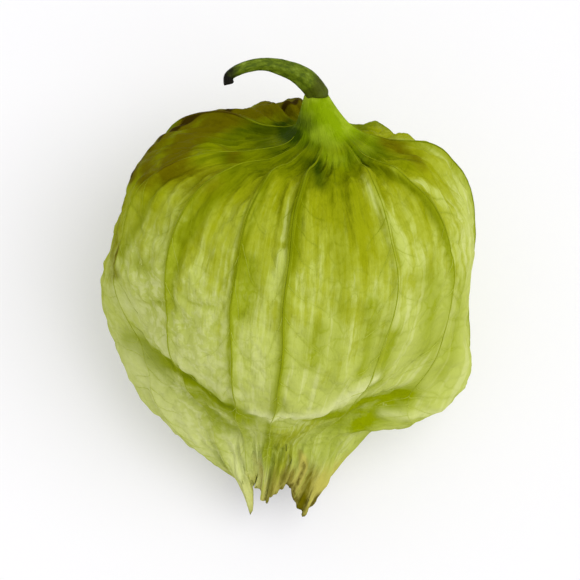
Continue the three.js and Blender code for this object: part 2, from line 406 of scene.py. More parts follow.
class ShapeTree:
    """A Geometry Nodes tree with named sizes, grown once into a plain mesh."""

    def __init__(self, name: str, sizes: dict[str, float]) -> None:
        """Start a tree.

        Args:
            name: the tree's name.
            sizes: the named sizes that it takes, with their values.
        """
        self.sizes = sizes
        self.tree = bpy.data.node_groups.new(name, "GeometryNodeTree")
        self.graph = Graph(self.tree)
        self.tree.interface.new_socket("Geometry", in_out="OUTPUT", socket_type="NodeSocketGeometry")
        self.tree.interface.new_socket("Geometry", in_out="INPUT", socket_type="NodeSocketGeometry")
        self.identifiers = {}
        for label in sizes:
            socket = self.tree.interface.new_socket(label, in_out="INPUT", socket_type="NodeSocketFloat")
            self.identifiers[label] = socket.identifier
        self.given = self.graph.node("NodeGroupInput")

    def size(self, label: str) -> Signal:
        """Return one of the tree's named sizes."""
        return Signal(self.graph, self.given.outputs[label])

    def number(self, name: str) -> Signal:
        """Read a number that the points carry."""
        node = self.graph.node("GeometryNodeInputNamedAttribute", {"data_type": "FLOAT"}, {"Name": name})
        return Signal(self.graph, node.outputs["Attribute"])

    def lines(self) -> bpy.types.NodeSocket:
        """Return the edges of the mesh that the tree is given, as curves."""
        sockets = {0: self.given.outputs["Geometry"]}
        return self.graph.node("GeometryNodeMeshToCurve", None, sockets).outputs[0]

    def circle(self, sides: int) -> bpy.types.NodeSocket:
        """Return a circle of radius 1."""
        sockets = {"Resolution": sides, "Radius": 1.0}
        return self.graph.node("GeometryNodeCurvePrimitiveCircle", None, sockets).outputs[0]

    def place(self) -> tuple[bpy.types.NodeSocket, list[Signal]]:
        """Return the points' position, whole and as its three parts."""
        whole = self.graph.node("GeometryNodeInputPosition").outputs[0]
        parts = self.graph.node("ShaderNodeSeparateXYZ", None, {0: whole}).outputs
        return whole, [Signal(self.graph, part) for part in parts]

    def vector(self, x: Any, y: Any, z: Any) -> bpy.types.NodeSocket:
        """Join three numbers into a vector."""
        return self.graph.node("ShaderNodeCombineXYZ", None, {0: x, 1: y, 2: z}).outputs[0]

    def vector_math(self, operation: str, *values: Any) -> bpy.types.NodeSocket:
        """Add a Vector Math node."""
        node = self.graph.node("ShaderNodeVectorMath", {"operation": operation}, dict(enumerate(values)))
        return node.outputs[0]

    def scaled(self, vector: Any, share: Any) -> bpy.types.NodeSocket:
        """Scale a vector by a number."""
        sockets = {0: vector, "Scale": share}
        return self.graph.node("ShaderNodeVectorMath", {"operation": "SCALE"}, sockets).outputs[0]

    def moved(self, shape: Any, sockets: dict[str, Any]) -> bpy.types.NodeSocket:
        """Set or offset the points' position."""
        return self.graph.node("GeometryNodeSetPosition", None, {"Geometry": shape, **sockets}).outputs[0]

    def stored(self, shape: Any, name: str, kind: str, value: Any) -> bpy.types.NodeSocket:
        """Keep a value on the points, for the finish to read."""
        settings = {"data_type": kind, "domain": "POINT"}
        sockets = {"Geometry": shape, "Name": name, "Value": value}
        return self.graph.node("GeometryNodeStoreNamedAttribute", settings, sockets).outputs[0]

    def roughened(self, shape: Any, pitch: Signal, height: Signal) -> bpy.types.NodeSocket:
        """Push the surface in and out along its normals by noise.

        Args:
            shape: the mesh to roughen.
            pitch: how many lumps there are to a metre.
            height: how far the surface moves.

        Returns:
            The roughened mesh.
        """
        whole, _ = self.place()
        noise = self.graph.node("ShaderNodeTexNoise", None, {"Vector": whole, "Scale": pitch, "Detail": 3.0})
        push = (Signal(self.graph, noise.outputs[0]) - 0.5) * height
        normal = self.graph.node("GeometryNodeInputNormal").outputs[0]
        return self.moved(shape, {"Offset": self.scaled(normal, push)})

    def swept(self, lines: Any, profile: Any) -> bpy.types.NodeSocket:
        """Sweep a closed profile of radius 1 along lines, at the radius that their points carry."""
        radius = self.number("radius_here")
        sockets = {"Curve": lines, "Profile Curve": profile, "Scale": radius, "Fill Caps": True}
        return self.graph.node("GeometryNodeCurveToMesh", None, sockets).outputs[0]

    def finish(self, shape: Any, material: bpy.types.Material) -> None:
        """End the tree: smooth shading, real copies and the material."""
        smooth = self.graph.node("GeometryNodeSetShadeSmooth", None, {"Geometry": shape}).outputs[0]
        real = self.graph.node("GeometryNodeRealizeInstances", None, {"Geometry": smooth}).outputs[0]
        dressed = self.graph.node("GeometryNodeSetMaterial", None, {"Geometry": real, "Material": material})
        self.graph.node("NodeGroupOutput", None, {0: dressed.outputs[0]})

    def grow(self, name: str, start: bpy.types.Mesh) -> bpy.types.Object:
        """Run the tree on a mesh and keep the result as a plain mesh.

        Args:
            name: the new piece's name.
            start: the mesh that the tree starts from.

        Returns:
            The new piece, with no modifier left on it.
        """
        piece = make_object(name, start)
        modifier = piece.modifiers.new(name, "NODES")
        modifier.node_group = self.tree
        for label, value in self.sizes.items():
            modifier[self.identifiers[label]] = value
        graph = bpy.context.evaluated_depsgraph_get()
        grown = bpy.data.meshes.new_from_object(
            piece.evaluated_get(graph), preserve_all_data_layers=True, depsgraph=graph
        )
        piece.modifiers.remove(modifier)
        piece.data = grown
        grown.name = name
        return piece


def linear(red: int, green: int, blue: int) -> Colour:
    """Turn an 8-bit display colour into linear light."""
    scaled = (channel / 255.0 for channel in (red, green, blue))
    r, g, b = (c / 12.92 if c <= 0.04045 else ((c + 0.055) / 1.055) ** 2.4 for c in scaled)
    return (r, g, b, 1.0)


class Finish:
    """A material's graph with the fields and patterns that finishes share."""

    def __init__(self, name: str) -> None:
        """Start a material with an empty Principled surface."""
        self.material = bpy.data.materials.new(name)
        self.material.use_nodes = True
        self.graph = Graph(self.material.node_tree)
        self.surface = self.material.node_tree.nodes["Principled BSDF"]
        self.place = self.graph.node("ShaderNodeTexCoord").outputs["Object"]

    def number(self, name: str) -> Signal:
        """Read a number that the mesh carries."""
        node = self.graph.node("ShaderNodeAttribute", {"attribute_name": name})
        return Signal(self.graph, node.outputs["Fac"])

    def vector(self, name: str) -> bpy.types.NodeSocket:
        """Read a vector that the mesh carries."""
        return self.graph.node("ShaderNodeAttribute", {"attribute_name": name}).outputs["Vector"]

    def noise(self, vector: Any, scale: float, detail: float = 3.0, roughness: float = 0.6) -> Signal:
        """Add fractal noise at a scale."""
        sockets = {"Vector": vector, "Scale": scale, "Detail": detail, "Roughness": roughness}
        node = self.graph.node("ShaderNodeTexNoise", None, sockets)
        return Signal(self.graph, node.outputs["Fac"])

    def cell_edges(self, vector: Any, scale: float) -> Signal:
        """Add the distance to the edges of a net of random cells."""
        settings = {"feature": "DISTANCE_TO_EDGE"}
        node = self.graph.node("ShaderNodeTexVoronoi", settings, {"Vector": vector, "Scale": scale})
        return Signal(self.graph, node.outputs["Distance"])

    def lengthwise(self, vector: Any, share: float) -> bpy.types.NodeSocket:
        """Shrink a vector along the leaf, so that patterns on it are drawn out lengthwise."""
        sockets = {0: vector, 1: (1.0, 1.0, share)}
        return self.graph.node("ShaderNodeVectorMath", {"operation": "MULTIPLY"}, sockets).outputs[0]

    def warped(self, vector: Any, scale: float, amount: float) -> bpy.types.NodeSocket:
        """Bend a vector by noise, so that patterns on it look grown."""
        noise = self.graph.node("ShaderNodeTexNoise", None, {"Vector": vector, "Scale": scale})
        sockets = {0: noise.outputs["Color"], 1: (0.5,) * 3}
        centred = self.graph.node("ShaderNodeVectorMath", {"operation": "SUBTRACT"}, sockets)
        sockets = {0: centred.outputs[0], 1: (amount,) * 3, 2: vector}
        return self.graph.node("ShaderNodeVectorMath", {"operation": "MULTIPLY_ADD"}, sockets).outputs[0]

    def mix(self, factor: Any, first: Any, second: Any) -> bpy.types.NodeSocket:
        """Mix two colours."""
        settings = {"data_type": "RGBA", "clamp_factor": True}
        return self.graph.node("ShaderNodeMix", settings, {0: factor, 6: first, 7: second}).outputs[2]

    def shaded(self, factor: Any, colour: Any, by: Any) -> bpy.types.NodeSocket:
        """Multiply a colour by another, as much as the factor says."""
        settings = {"data_type": "RGBA", "blend_type": "MULTIPLY", "clamp_factor": True}
        return self.graph.node("ShaderNodeMix", settings, {0: factor, 6: colour, 7: by}).outputs[2]

    def bump(self, height: Signal, strength: float, distance: float) -> bpy.types.NodeSocket:
        """Turn a height in [0, 1] into a bumped normal."""
        sockets = {"Height": height, "Strength": strength, "Distance": distance}
        return self.graph.node("ShaderNodeBump", None, sockets).outputs["Normal"]

    def settle(self, varying: dict[str, Any], uniform: dict[str, Any]) -> bpy.types.Material:
        """Feed the surface's sockets.

        Args:
            varying: links for the sockets that change over the surface.
            uniform: plain values for the others.

        Returns:
            The finished material.
        """
        for name, value in {**varying, **uniform}.items():
            self.graph.feed(self.surface.inputs[name], value)
        return self.material


# ---- finishes ------------------------------------------------------------------------------


@dataclass(frozen=True)
class HuskFinish:
    """Thin papery leaf skin: yellow-green above, paler down the belly, withered at its edges, with painted
    shade in its folds and hollows and painted highlights on its rims.
    """

    leafy: Colour = linear(127, 138, 0)
    half: Colour = linear(153, 161, 16)
    middle: Colour = linear(170, 179, 54)
    pale: Colour = linear(190, 200, 98)
    # the colour of the painted highlights
    bright: Colour = linear(214, 220, 146)
    streak: Colour = linear(102, 115, 0)
    # multiplier for the veins' darker bands and for painted shade in creases and folds
    shade: Colour = (0.6, 0.64, 0.12, 1.0)
    # painted shade in the hollow beside the collar and in creases
    deep: Colour = linear(50, 70, 0)
    # painted shade in the folds
    fold_shade: Colour = linear(142, 156, 0)
    fresh: Colour = linear(136, 164, 6)
    # painted highlight on the collar
    highlight_green: Colour = linear(162, 186, 40)
    dry: Colour = linear(104, 98, 0)
    scorched: Colour = linear(58, 46, 0)
    straw: Colour = linear(192, 185, 88)
    burnt: Colour = linear(84, 72, 4)
    half_from: Span = (-0.21, -0.09)
    middle_from: Span = (-0.1, 0.0)
    pale_from: Span = (-0.02, 0.07)
    bright_from: Span = (-0.02, 0.1)
    streaky_before: Span = (-0.04, -0.16)
    unevenness: tuple[float, float, float] = (0.26, 0.22, 0.1)
    cell_scale: float = 0.62
    bump_height: float = 0.0005

    def build(self) -> bpy.types.Material:
        """Build the material: colours by age first, then net, bands and painted tints over them, among which
        painted shade and painted highlights.
        """
        f = Finish("husk_skin")
        place = f.vector("skin_place")
        fleck = f.noise(place, 0.9)
        blotch = f.noise(place, 0.17, roughness=0.55)
        streak = f.noise(f.lengthwise(place, 0.1), 1.2)
        # the light tint includes painted highlight stripes beside the ribs
        age = f.number("age") + f.number(Tint.LIGHT.value) * (0.4 + streak) * 0.2
        for pattern, share in zip((streak, blotch, fleck), self.unevenness):
            age = age + (pattern - 0.5) * share
        colour = f.mix(age.step(*self.half_from), self.leafy, self.half)
        colour = f.mix(age.step(*self.middle_from), colour, self.middle)
        colour = f.mix(age.step(*self.pale_from), colour, self.pale)
        # painted highlights on the crinkles and on lengthwise ridges of the paler leaf
        crinkled = f.number("crinkled")
        crinkle = f.noise(f.warped(place, 0.5, 1.5), 0.8).step(0.46, 0.6)
        ridge = f.noise(f.lengthwise(place, 0.07), 0.9).step(0.5, 0.62)
        crinkle_highlights = crinkle * crinkled + ridge * (1.0 - crinkled) * 0.7
        colour = f.mix(age.step(*self.bright_from) * crinkle_highlights * 0.75, colour, self.bright)
        streaky = age.step(*self.streaky_before) * streak.step(0.5, 0.64)
        colour = f.mix(streaky * 0.8, colour, self.streak)

        cells = f.cell_edges(f.warped(f.lengthwise(place, 0.7), 0.8, 1.1), self.cell_scale)
        net = (f.number("vein_near") * 0.6).larger(cells.step(0.12, 0.0) * 0.5 * blotch.step(0.4, 0.6))
        # darkens the veins' bands and net; through the olive tint it also paints shade in creases and folds
        band = (f.number("rib_near") + f.number(Tint.OLIVE.value)) * (0.5 + streak)
        colour = f.shaded((band + net * 0.5).clamped(), colour, self.shade)
        colour = self._paint_fields(f, colour, fleck, place)

        smooth = 1.0 - f.number(Tint.FRESH.value) * 0.85
        fibres = f.noise(f.lengthwise(place, 0.16), 3.0) * smooth
        crisp = (cells * 1.6).clamped()
        normal = f.bump(fibres * 0.4 + crisp * 0.5 + fleck * 0.5, 0.6, self.bump_height)
        rough = 0.6 + (fleck - 0.5) * 0.24
        varying = {"Base Color": colour, "Roughness": rough, "Normal": normal}
        return f.settle(varying, {"Specular IOR Level": 0.01})

    def _paint_fields(
        self, f: Finish, colour: bpy.types.NodeSocket, fleck: Signal, place: bpy.types.NodeSocket
    ) -> bpy.types.NodeSocket:
        """Lay the painted tints over the leaf's own colour: painted shade in folds and hollows, painted
        highlights on edges and the collar, and the withered and straw colours.

        Args:
            f: the finish being built.
            colour: the leaf's own colour.
            fleck: fine noise that breaks the tints up.
            place: where on the unrolled leaf a point lies.

        Returns:
            The colour with the tints.
        """
        ragged = fleck - 0.5
        stain = f.noise(place, 0.5, 4.0, 0.62) - 0.5
        # painted shade in the folds, and painted highlight on rims and edges
        for tint, shade in ((Tint.FOLD_SHADE, self.fold_shade), (Tint.PALE_HIGHLIGHT, self.bright)):
            strength = f.number(tint.value)
            colour = f.mix((strength + ragged * strength).clamped(), colour, shade)
        # painted highlight spots on the fresh green near the stalk
        highlight_spots = f.noise(f.place, 330.0, 3.0, 0.55).step(0.42, 0.62)
        colour = f.mix(f.number(Tint.FRESH.value), colour, f.mix(highlight_spots * 0.8, self.fresh, self.highlight_green))
        # painted shade in the hollow beside the collar, in creases and in the folds' cores
        deep = f.number(Tint.DEEP_SHADE.value)
        colour = f.mix((deep * 1.3 + ragged * deep).clamped(), colour, self.deep)
        straw = f.number(Tint.STRAW.value)
        colour = f.mix((straw + stain * 1.4 * straw).step(0.15, 0.75), colour, self.straw)
        colour = f.mix((straw + stain * 0.9).step(0.72, 1.1), colour, self.burnt)
        dry = f.number(Tint.DRY.value)
        colour = f.mix((dry + stain * 1.5 * dry).step(0.1, 0.8), colour, self.dry)
        return f.mix((dry + stain * 0.6).step(0.9, 1.25), colour, self.scorched)


@dataclass(frozen=True)
class VeinFinish:
    """The husk's veins: olive cords where they are stout, close to the leaf's colour where thin."""

    olive: Colour = linear(116, 128, 0)
    leafy: Colour = linear(146, 158, 18)
    pale: Colour = linear(184, 194, 84)
    brown: Colour = linear(84, 72, 2)

    def build(self) -> bpy.types.Material:
        """Build the material."""
        f = Finish("husk_veins")
        patch = f.noise(f.place, 240.0)
        tone = f.number("tone") + (patch - 0.5) * 0.6
        colour = f.mix(tone.step(0.0, 0.5), self.pale, self.leafy)
        colour = f.mix(tone.step(0.4, 0.9), colour, self.olive)
        colour = f.mix((f.number("dry") + (patch - 0.5) * 0.5).step(0.3, 0.95), colour, self.brown)
        normal = f.bump(f.noise(f.place, 1500.0, 2.0, 0.5), 0.4, 0.0002)
        uniform = {"Roughness": 0.6, "Specular IOR Level": 0.04}
        return f.settle({"Base Color": colour, "Normal": normal}, uniform)


@dataclass(frozen=True)
class StalkFinish:
    """Green stalk: bright where it leaves the husk, olive along the hook, black at its break, with painted
    shade in its grooves and painted glints on its ridges.
    """

    fresh: Colour = linear(122, 148, 14)
    olive: Colour = linear(98, 116, 16)
    groove_shade: Colour = linear(62, 80, 4)
    glint: Colour = linear(140, 158, 62)
    joint: Colour = linear(62, 68, 4)
    dead: Colour = linear(14, 12, 2)
    olive_from: Span = (0.3, 0.42)
    joint_until: Span = (0.42, 0.36)
    dead_from: Span = (0.86, 0.95)

    def build(self) -> bpy.types.Material:
        """Build the material."""
        f = Finish("stalk_skin")
        run = f.number("run")
        place = f.vector("stalk_place")
        streak = f.noise(f.lengthwise(place, 0.25), 2.2)
        fleck = f.noise(f.place, 900.0)
        colour = f.mix(run.step(*self.olive_from), self.fresh, self.olive)
        # painted shade in the grooves and painted glints on the ridges between them
        colour = f.mix(streak.step(0.58, 0.36) * 0.8, colour, self.groove_shade)
        colour = f.mix(streak.step(0.56, 0.72) * 0.55, colour, self.glint)
        ragged = run + (fleck - 0.5) * 0.1
        colour = f.mix(ragged.step(*self.joint_until) * 0.85, colour, self.joint)
        colour = f.mix(ragged.step(*self.dead_from), colour, self.dead)
        normal = f.bump(streak * 0.7 + fleck * 0.3, 0.6, 0.0004)
        varying = {"Base Color": colour, "Roughness": 0.45 + fleck * 0.2, "Normal": normal}
        return f.settle(varying, {"Specular IOR Level": 0.1})


@dataclass(frozen=True)
class BerryFinish:
    """Firm green berry with a thin waxy, slightly sticky skin."""

    green: Colour = linear(126, 150, 44)
    light: Colour = linear(158, 176, 72)
    speck: Colour = linear(186, 196, 118)

    def build(self) -> bpy.types.Material:
        """Build the material."""
        f = Finish("berry_skin")
        patch = f.noise(f.place, 90.0, roughness=0.5)
        colour = f.mix(patch.step(0.3, 0.7), self.green, self.light)
        dots = f.cell_edges(f.place, 900.0).step(0.42, 0.56)
        colour = f.mix(dots * 0.5, colour, self.speck)
        normal = f.bump(f.noise(f.place, 900.0, 2.0, 0.5), 0.15, 0.0002)
        varying = {"Base Color": colour, "Roughness": 0.24 + patch * 0.12, "Normal": normal}
        return f.settle(varying, {"Coat Roughness": 0.2})


# ---- husk ----------------------------------------------------------------------------------


@dataclass(frozen=True)
class Tooth:
    """A pointed lobe of the husk's mouth.

    Attributes:
        azimuth: where it stands.
        length: how far it reaches past the mouth.
        half_angle: how far it reaches to each side, in degrees.
        curl: how far its point bends outwards.
        sway: how far its point bends round the mouth, in degrees.
        sharpness: 1 for a straight-sided point, less for a rounder one.
    """

    azimuth: float
    length: float
    half_angle: float
    curl: float = 0.0
    sway: float = 0.0
    sharpness: float = 1.0


@dataclass(frozen=True)
class Marking:
    """A band along a path on the husk: painted shade in a fold, crease or hollow, a painted highlight on an
    edge, a withered stain, or a vein's darker or paler colour.

    Attributes:
        path: (azimuth, station) of its corners.
        width: how far it reaches to each side.
        tints: strength of each tint that it paints.
        depth: how deep it sinks the surface, below 0 where it lifts it.
        shows_from: the station from which it comes up, or 0 where it shows at full strength.
    """

    path: tuple[tuple[float, float], ...]
    width: float
    tints: dict[Tint, float]
    depth: float = 0.0
    shows_from: float = 0.0


MARKINGS = (
    # painted shade in the folds and valleys where the leaf leaves the berry on either side
    Marking(
        ((-76, 0.558), (-71, 0.553), (-64, 0.549), (-53, 0.545), (-42, 0.554)),
        1.6, {Tint.FOLD_SHADE: 1.7, Tint.OLIVE: 1.2}, 0.25,
    ),
    Marking(
        ((-78, 0.566), (-71, 0.562), (-62, 0.556), (-54, 0.55)),
        1.4, {Tint.FOLD_SHADE: 1.5, Tint.OLIVE: 1.2},
    ),
    Marking(
        ((-42, 0.556), (-36, 0.574), (-30, 0.588), (-23, 0.6), (-13, 0.615)),
        1.6, {Tint.FOLD_SHADE: 1.6}, 0.3,
    ),
    Marking(((-58, 0.549), (-53, 0.547), (-42, 0.556), (-32, 0.582), (-22, 0.6)), 0.9, {Tint.DEEP_SHADE: 0.3}),
    Marking(((-46, 0.6), (-34, 0.62), (-22, 0.64), (-14, 0.65)), 1.7, {Tint.FOLD_SHADE: 0.85}),
    Marking(((-46, 0.64), (-42, 0.7), (-34, 0.76)), 1.5, {Tint.FOLD_SHADE: 0.7}, 0.2),
    Marking(((72, 0.592), (64, 0.592), (54, 0.604), (44, 0.606), (34, 0.616)), 1.9, {Tint.FOLD_SHADE: 1.2}, 0.25),
    Marking(((70, 0.62), (69, 0.66), (66, 0.69), (64, 0.72)), 2.1, {Tint.FOLD_SHADE: 1.15}, 0.1),
    Marking(((54, 0.63), (60, 0.645), (65, 0.655)), 1.6, {Tint.FOLD_SHADE: 0.9}, 0.1),
    Marking(((58, 0.62), (53, 0.65), (54, 0.69)), 2.6, {Tint.FOLD_SHADE: 0.95}, 0.1),
    Marking(((55, 0.69), (58, 0.76), (59, 0.86)), 2.2, {Tint.FOLD_SHADE: 0.5}, 0.1),
    # painted highlight on the belly's edge above them, on the lip of the right lobe and over the left wing
    Marking(
        ((-8, 0.598), (-3, 0.604), (4, 0.602), (15, 0.594),
         (26, 0.58), (33, 0.56), (38, 0.538), (44, 0.516)),
        1.2, {Tint.PALE_HIGHLIGHT: 1.05}, -0.25,
    ),
    Marking(((-56, 0.5), (-40, 0.522), (-26, 0.54), (-13, 0.55)), 1.1, {Tint.PALE_HIGHLIGHT: 0.55}, -0.1),
    Marking(((-66, 0.49), (-45, 0.5), (-28, 0.505)), 2.0, {Tint.PALE_HIGHLIGHT: 0.3}),
    Marking(((-78, 0.6), (-70, 0.7), (-62, 0.8), (-60, 0.88)), 3.0, {Tint.PALE_HIGHLIGHT: 0.55}),
    Marking(((70, 0.66), (76, 0.668), (84, 0.67)), 0.7, {Tint.PALE_HIGHLIGHT: 0.6}, -0.3),
    # withered shoulders; the dark line along the crest and the olive-brown down the left edge are also
    # painted shade
    Marking(((-68, 0.285), (-80, 0.265), (-102, 0.255), (-128, 0.23), (-165, 0.22)), 3.2, {Tint.DRY: 0.95}),
    Marking(((-70, 0.32), (-84, 0.31), (-110, 0.3), (-140, 0.27), (-185, 0.26)), 2.4, {Tint.DRY: 0.75}),
    # the dark line along the crest: withered leaf with painted shade on the fold's edge
    Marking(
        ((-86, 0.345), (-99, 0.324), (-111, 0.311), (-121, 0.297), (-126, 0.27),
         (-131, 0.25), (-144, 0.248), (-156, 0.234), (-168, 0.228)),
        1.25, {Tint.DRY: 1.5},
    ),
    # painted shade down the left edge, over withered colour
    Marking(((-95, 0.31), (-89, 0.37), (-84, 0.43), (-80, 0.47)), 1.9, {Tint.DRY: 0.42}),
    Marking(((-78, 0.432), (-76, 0.462)), 1.1, {Tint.DRY: 0.62}),
    Marking(((-50, 0.255), (-60, 0.27), (-72, 0.285)), 1.8, {Tint.DRY: 0.62}),
    Marking(((-42, 0.285), (-54, 0.298), (-68, 0.31), (-82, 0.32)), 2.2, {Tint.DRY: 0.44}),
    Marking(((-84, 0.2), (-66, 0.2), (-56, 0.21)), 1.5, {Tint.DRY: 0.5}),
    Marking(((-62, 0.21), (-50, 0.232), (-40, 0.25), (-36, 0.28)), 1.1, {Tint.OLIVE: 1.1}),
    Marking(((92, 0.165), (86, 0.19), (79, 0.225), (74, 0.25)), 1.7, {Tint.DRY: 0.6}),
    # painted shade in the hollow beside the collar and on its left side, painted shadow lines in the creases
    # below it, and fresher green on its right
    Marking(((-35, 0.06), (-60, 0.06), (-100, 0.06)), 1.7, {Tint.DEEP_SHADE: 0.62}),
    Marking(((-58, 0.09), (-80, 0.095), (-100, 0.105), (-120, 0.12)), 1.9, {Tint.DEEP_SHADE: 0.9}),
    Marking(((-20, 0.1), (-46, 0.1), (-58, 0.1)), 1.5, {Tint.DEEP_SHADE: 0.5}),
    Marking(((-52, 0.14), (-97, 0.15), (-121, 0.16)), 1.8, {Tint.DEEP_SHADE: 0.48}, 0.2),
    Marking(((-108, 0.2), (-118, 0.18), (-122, 0.15)), 1.6, {Tint.DEEP_SHADE: 0.5}),
    Marking(((-118, 0.12), (-130, 0.135)), 1.5, {Tint.DEEP_SHADE: 0.85}),
    Marking(((3, 0.165), (8, 0.195), (12, 0.22), (13, 0.24)), 1.15, {Tint.DEEP_SHADE: 0.72}),
    Marking(((-8, 0.15), (2, 0.17)), 1.4, {Tint.DEEP_SHADE: 0.55}),
    Marking(((-14, 0.075), (2, 0.08), (14, 0.09)), 1.3, {Tint.DEEP_SHADE: 0.22}),
    Marking(((-153, 0.166), (-135, 0.155)), 1.2, {Tint.DEEP_SHADE: 0.8}),
    Marking(((50, 0.15), (64, 0.165), (80, 0.15)), 1.7, {Tint.DEEP_SHADE: 0.42}),
    Marking(((52, 0.1), (66, 0.1), (80, 0.1)), 1.2, {Tint.DEEP_SHADE: 0.3}),
    Marking(((14, 0.18), (18, 0.24)), 0.7, {Tint.DEEP_SHADE: 0.3}),
    Marking(((-44, 0.17), (-40, 0.25)), 0.7, {Tint.DEEP_SHADE: 0.2}),
    Marking(((12, 0.125), (40, 0.14), (70, 0.13), (95, 0.12)), 1.8, {Tint.FRESH: 0.5}),
    # broad soft bands along the leaf: the veins' darker colour, and paler stripes that are painted highlight
    # beside the ribs
    Marking(
        ((-31, 0.22), (-36, 0.294), (-38, 0.335), (-42, 0.37), (-43, 0.4)),
        1.1, {Tint.OLIVE: 1.3}, 0.1,
    ),
    Marking(((-43, 0.4), (-44, 0.45)), 0.9, {Tint.OLIVE: 0.8}, 0.1),
    Marking(((-62, 0.425), (-55, 0.42)), 1.0, {Tint.OLIVE: 0.8}),
    Marking(((-13, 0.375), (-12, 0.4), (-14, 0.43)), 1.5, {Tint.OLIVE: 0.9}),
    Marking(((-24, 0.2), (-15, 0.3), (-18, 0.37)), 0.4, {Tint.OLIVE: 0.5}, 0.05),
    Marking(((-17.7, 0.372), (-17.6, 0.395), (-16.5, 0.43)), 0.4, {Tint.OLIVE: 1.0}, 0.1),
    Marking(((-18, 0.43), (-17, 0.455), (-18.5, 0.475), (-17.5, 0.51)), 0.3, {Tint.OLIVE: 0.6}, 0.05),
    Marking(((4.5, 0.28), (4.5, 0.34), (4, 0.37)), 0.6, {Tint.OLIVE: 0.6}, 0.05),
    Marking(((15, 0.44), (14, 0.48)), 1.6, {Tint.OLIVE: 0.75}),
    Marking(((42, 0.25), (43, 0.34), (44, 0.38)), 0.5, {Tint.OLIVE: 0.5}, 0.1),
    Marking(((45, 0.46), (46, 0.49), (48, 0.53)), 1.5, {Tint.OLIVE: 0.95}, 0.05),
    Marking(((34, 0.42), (36, 0.46), (37, 0.5)), 1.3, {Tint.OLIVE: 0.8}),
    Marking(((50, 0.23), (58, 0.272), (62, 0.315), (64, 0.351), (66, 0.39)), 0.7, {Tint.OLIVE: 1.0}, 0.12),
    Marking(((66, 0.39), (69, 0.45), (76, 0.53)), 0.6, {Tint.OLIVE: 0.5}, 0.1),
    Marking(((57, 0.41), (60, 0.45), (64, 0.5)), 2.2, {Tint.OLIVE: 0.7}),
    Marking(((74, 0.44), (77, 0.49), (77, 0.56)), 1.9, {Tint.OLIVE: 0.65}),
    Marking(((82, 0.27), (79, 0.32), (80, 0.36)), 0.5, {Tint.OLIVE: 0.8}, 0.1),
    Marking(((-60, 0.32), (-66, 0.38), (-72, 0.43)), 0.9, {Tint.OLIVE: 0.7}, 0.05),
    Marking(((22, 0.3), (23, 0.42), (24, 0.52)), 1.4, {Tint.OLIVE: 0.45}),
    Marking(((-1, 0.25), (-1.5, 0.34)), 0.7, {Tint.LIGHT: 0.85}),
    Marking(((-0.5, 0.36), (-1, 0.4)), 0.9, {Tint.LIGHT: 1.4}),
    Marking(((37, 0.24), (40, 0.285), (44, 0.33), (46, 0.36)), 1.1, {Tint.LIGHT: 0.85}, -0.15),
    Marking(((57, 0.245), (65, 0.28), (71, 0.31), (73, 0.33)), 0.9, {Tint.LIGHT: 0.95}, -0.15),
    Marking(((-14, 0.24), (-8, 0.32)), 0.6, {Tint.LIGHT: 0.8}),
    Marking(((-6, 0.66), (16, 0.66)), 1.6, {Tint.LIGHT: 0.8}),
    Marking(((-50, 0.42), (-53, 0.47)), 1.6, {Tint.LIGHT: 0.8}),
    Marking(((-76, 0.5), (-79, 0.54)), 1.6, {Tint.LIGHT: 0.8}),
    # painted highlight on the left wing
    Marking(((-78, 0.49), (-72, 0.49), (-66, 0.475)), 1.5, {Tint.PALE_HIGHLIGHT: 0.5}),
    # painted shade in short creases across the panels
    Marking(((-17.5, 0.368), (-11.5, 0.366), (-4, 0.366)), 0.28, {Tint.OLIVE: 0.8}, 0.22),
    Marking(((-40, 0.43), (-34, 0.436), (-26, 0.432)), 0.35, {Tint.OLIVE: 0.5}, 0.2),
    Marking(((-66, 0.47), (-56, 0.462), (-45, 0.445)), 0.3, {Tint.OLIVE: 0.8}, 0.2),
    Marking(((52, 0.42), (62, 0.43)), 0.3, {Tint.OLIVE: 0.5}, 0.15),
    # withered pleats of the mouth, two of them brightened with painted highlight
    Marking(((-34, 0.8), (-36, 0.9), (-37, 1.0)), 1.8, {Tint.PALE_HIGHLIGHT: 0.75}, -0.1, 0.72),
    Marking(((-16, 0.88), (-6, 0.94), (-2, 1.0)), 1.0, {Tint.STRAW: 0.6, Tint.PALE_HIGHLIGHT: 0.9}, 0.1, 0.82),
    Marking(((-8, 0.95), (-8, 1.0)), 0.3, {Tint.DRY: 0.6}, 0.1, 0.88),
    Marking(((-40, 0.93), (-39, 1.0)), 0.8, {Tint.DRY: 0.62}, 0.1, 0.91),
    Marking(((3, 0.98), (12, 0.985), (20, 0.99)), 0.7, {Tint.DRY: 0.7}, 0.1, 0.95),
    Marking(((12, 0.86), (13, 0.93), (10, 1.0)), 0.6, {Tint.DRY: 0.62}, 0.1, 0.84),
    Marking(((26, 0.86), (27, 0.93), (24, 1.0)), 0.7, {Tint.DRY: 0.55}, 0.15, 0.8),
    Marking(((38, 0.86), (42, 0.92), (44, 1.0)), 0.7, {Tint.STRAW: 1.0}, -0.15, 0.78),
    Marking(((47, 0.87), (50, 0.94), (54, 1.0)), 0.75, {Tint.DRY: 0.72}, 0.1, 0.82),
    Marking(((70, 0.9), (67, 1.0)), 0.6, {Tint.DRY: 0.8}, 0.1, 0.86),
    Marking(((2, 0.78), (3, 0.9)), 0.5, {Tint.OLIVE: 0.3}, 0.1, 0.74),
)


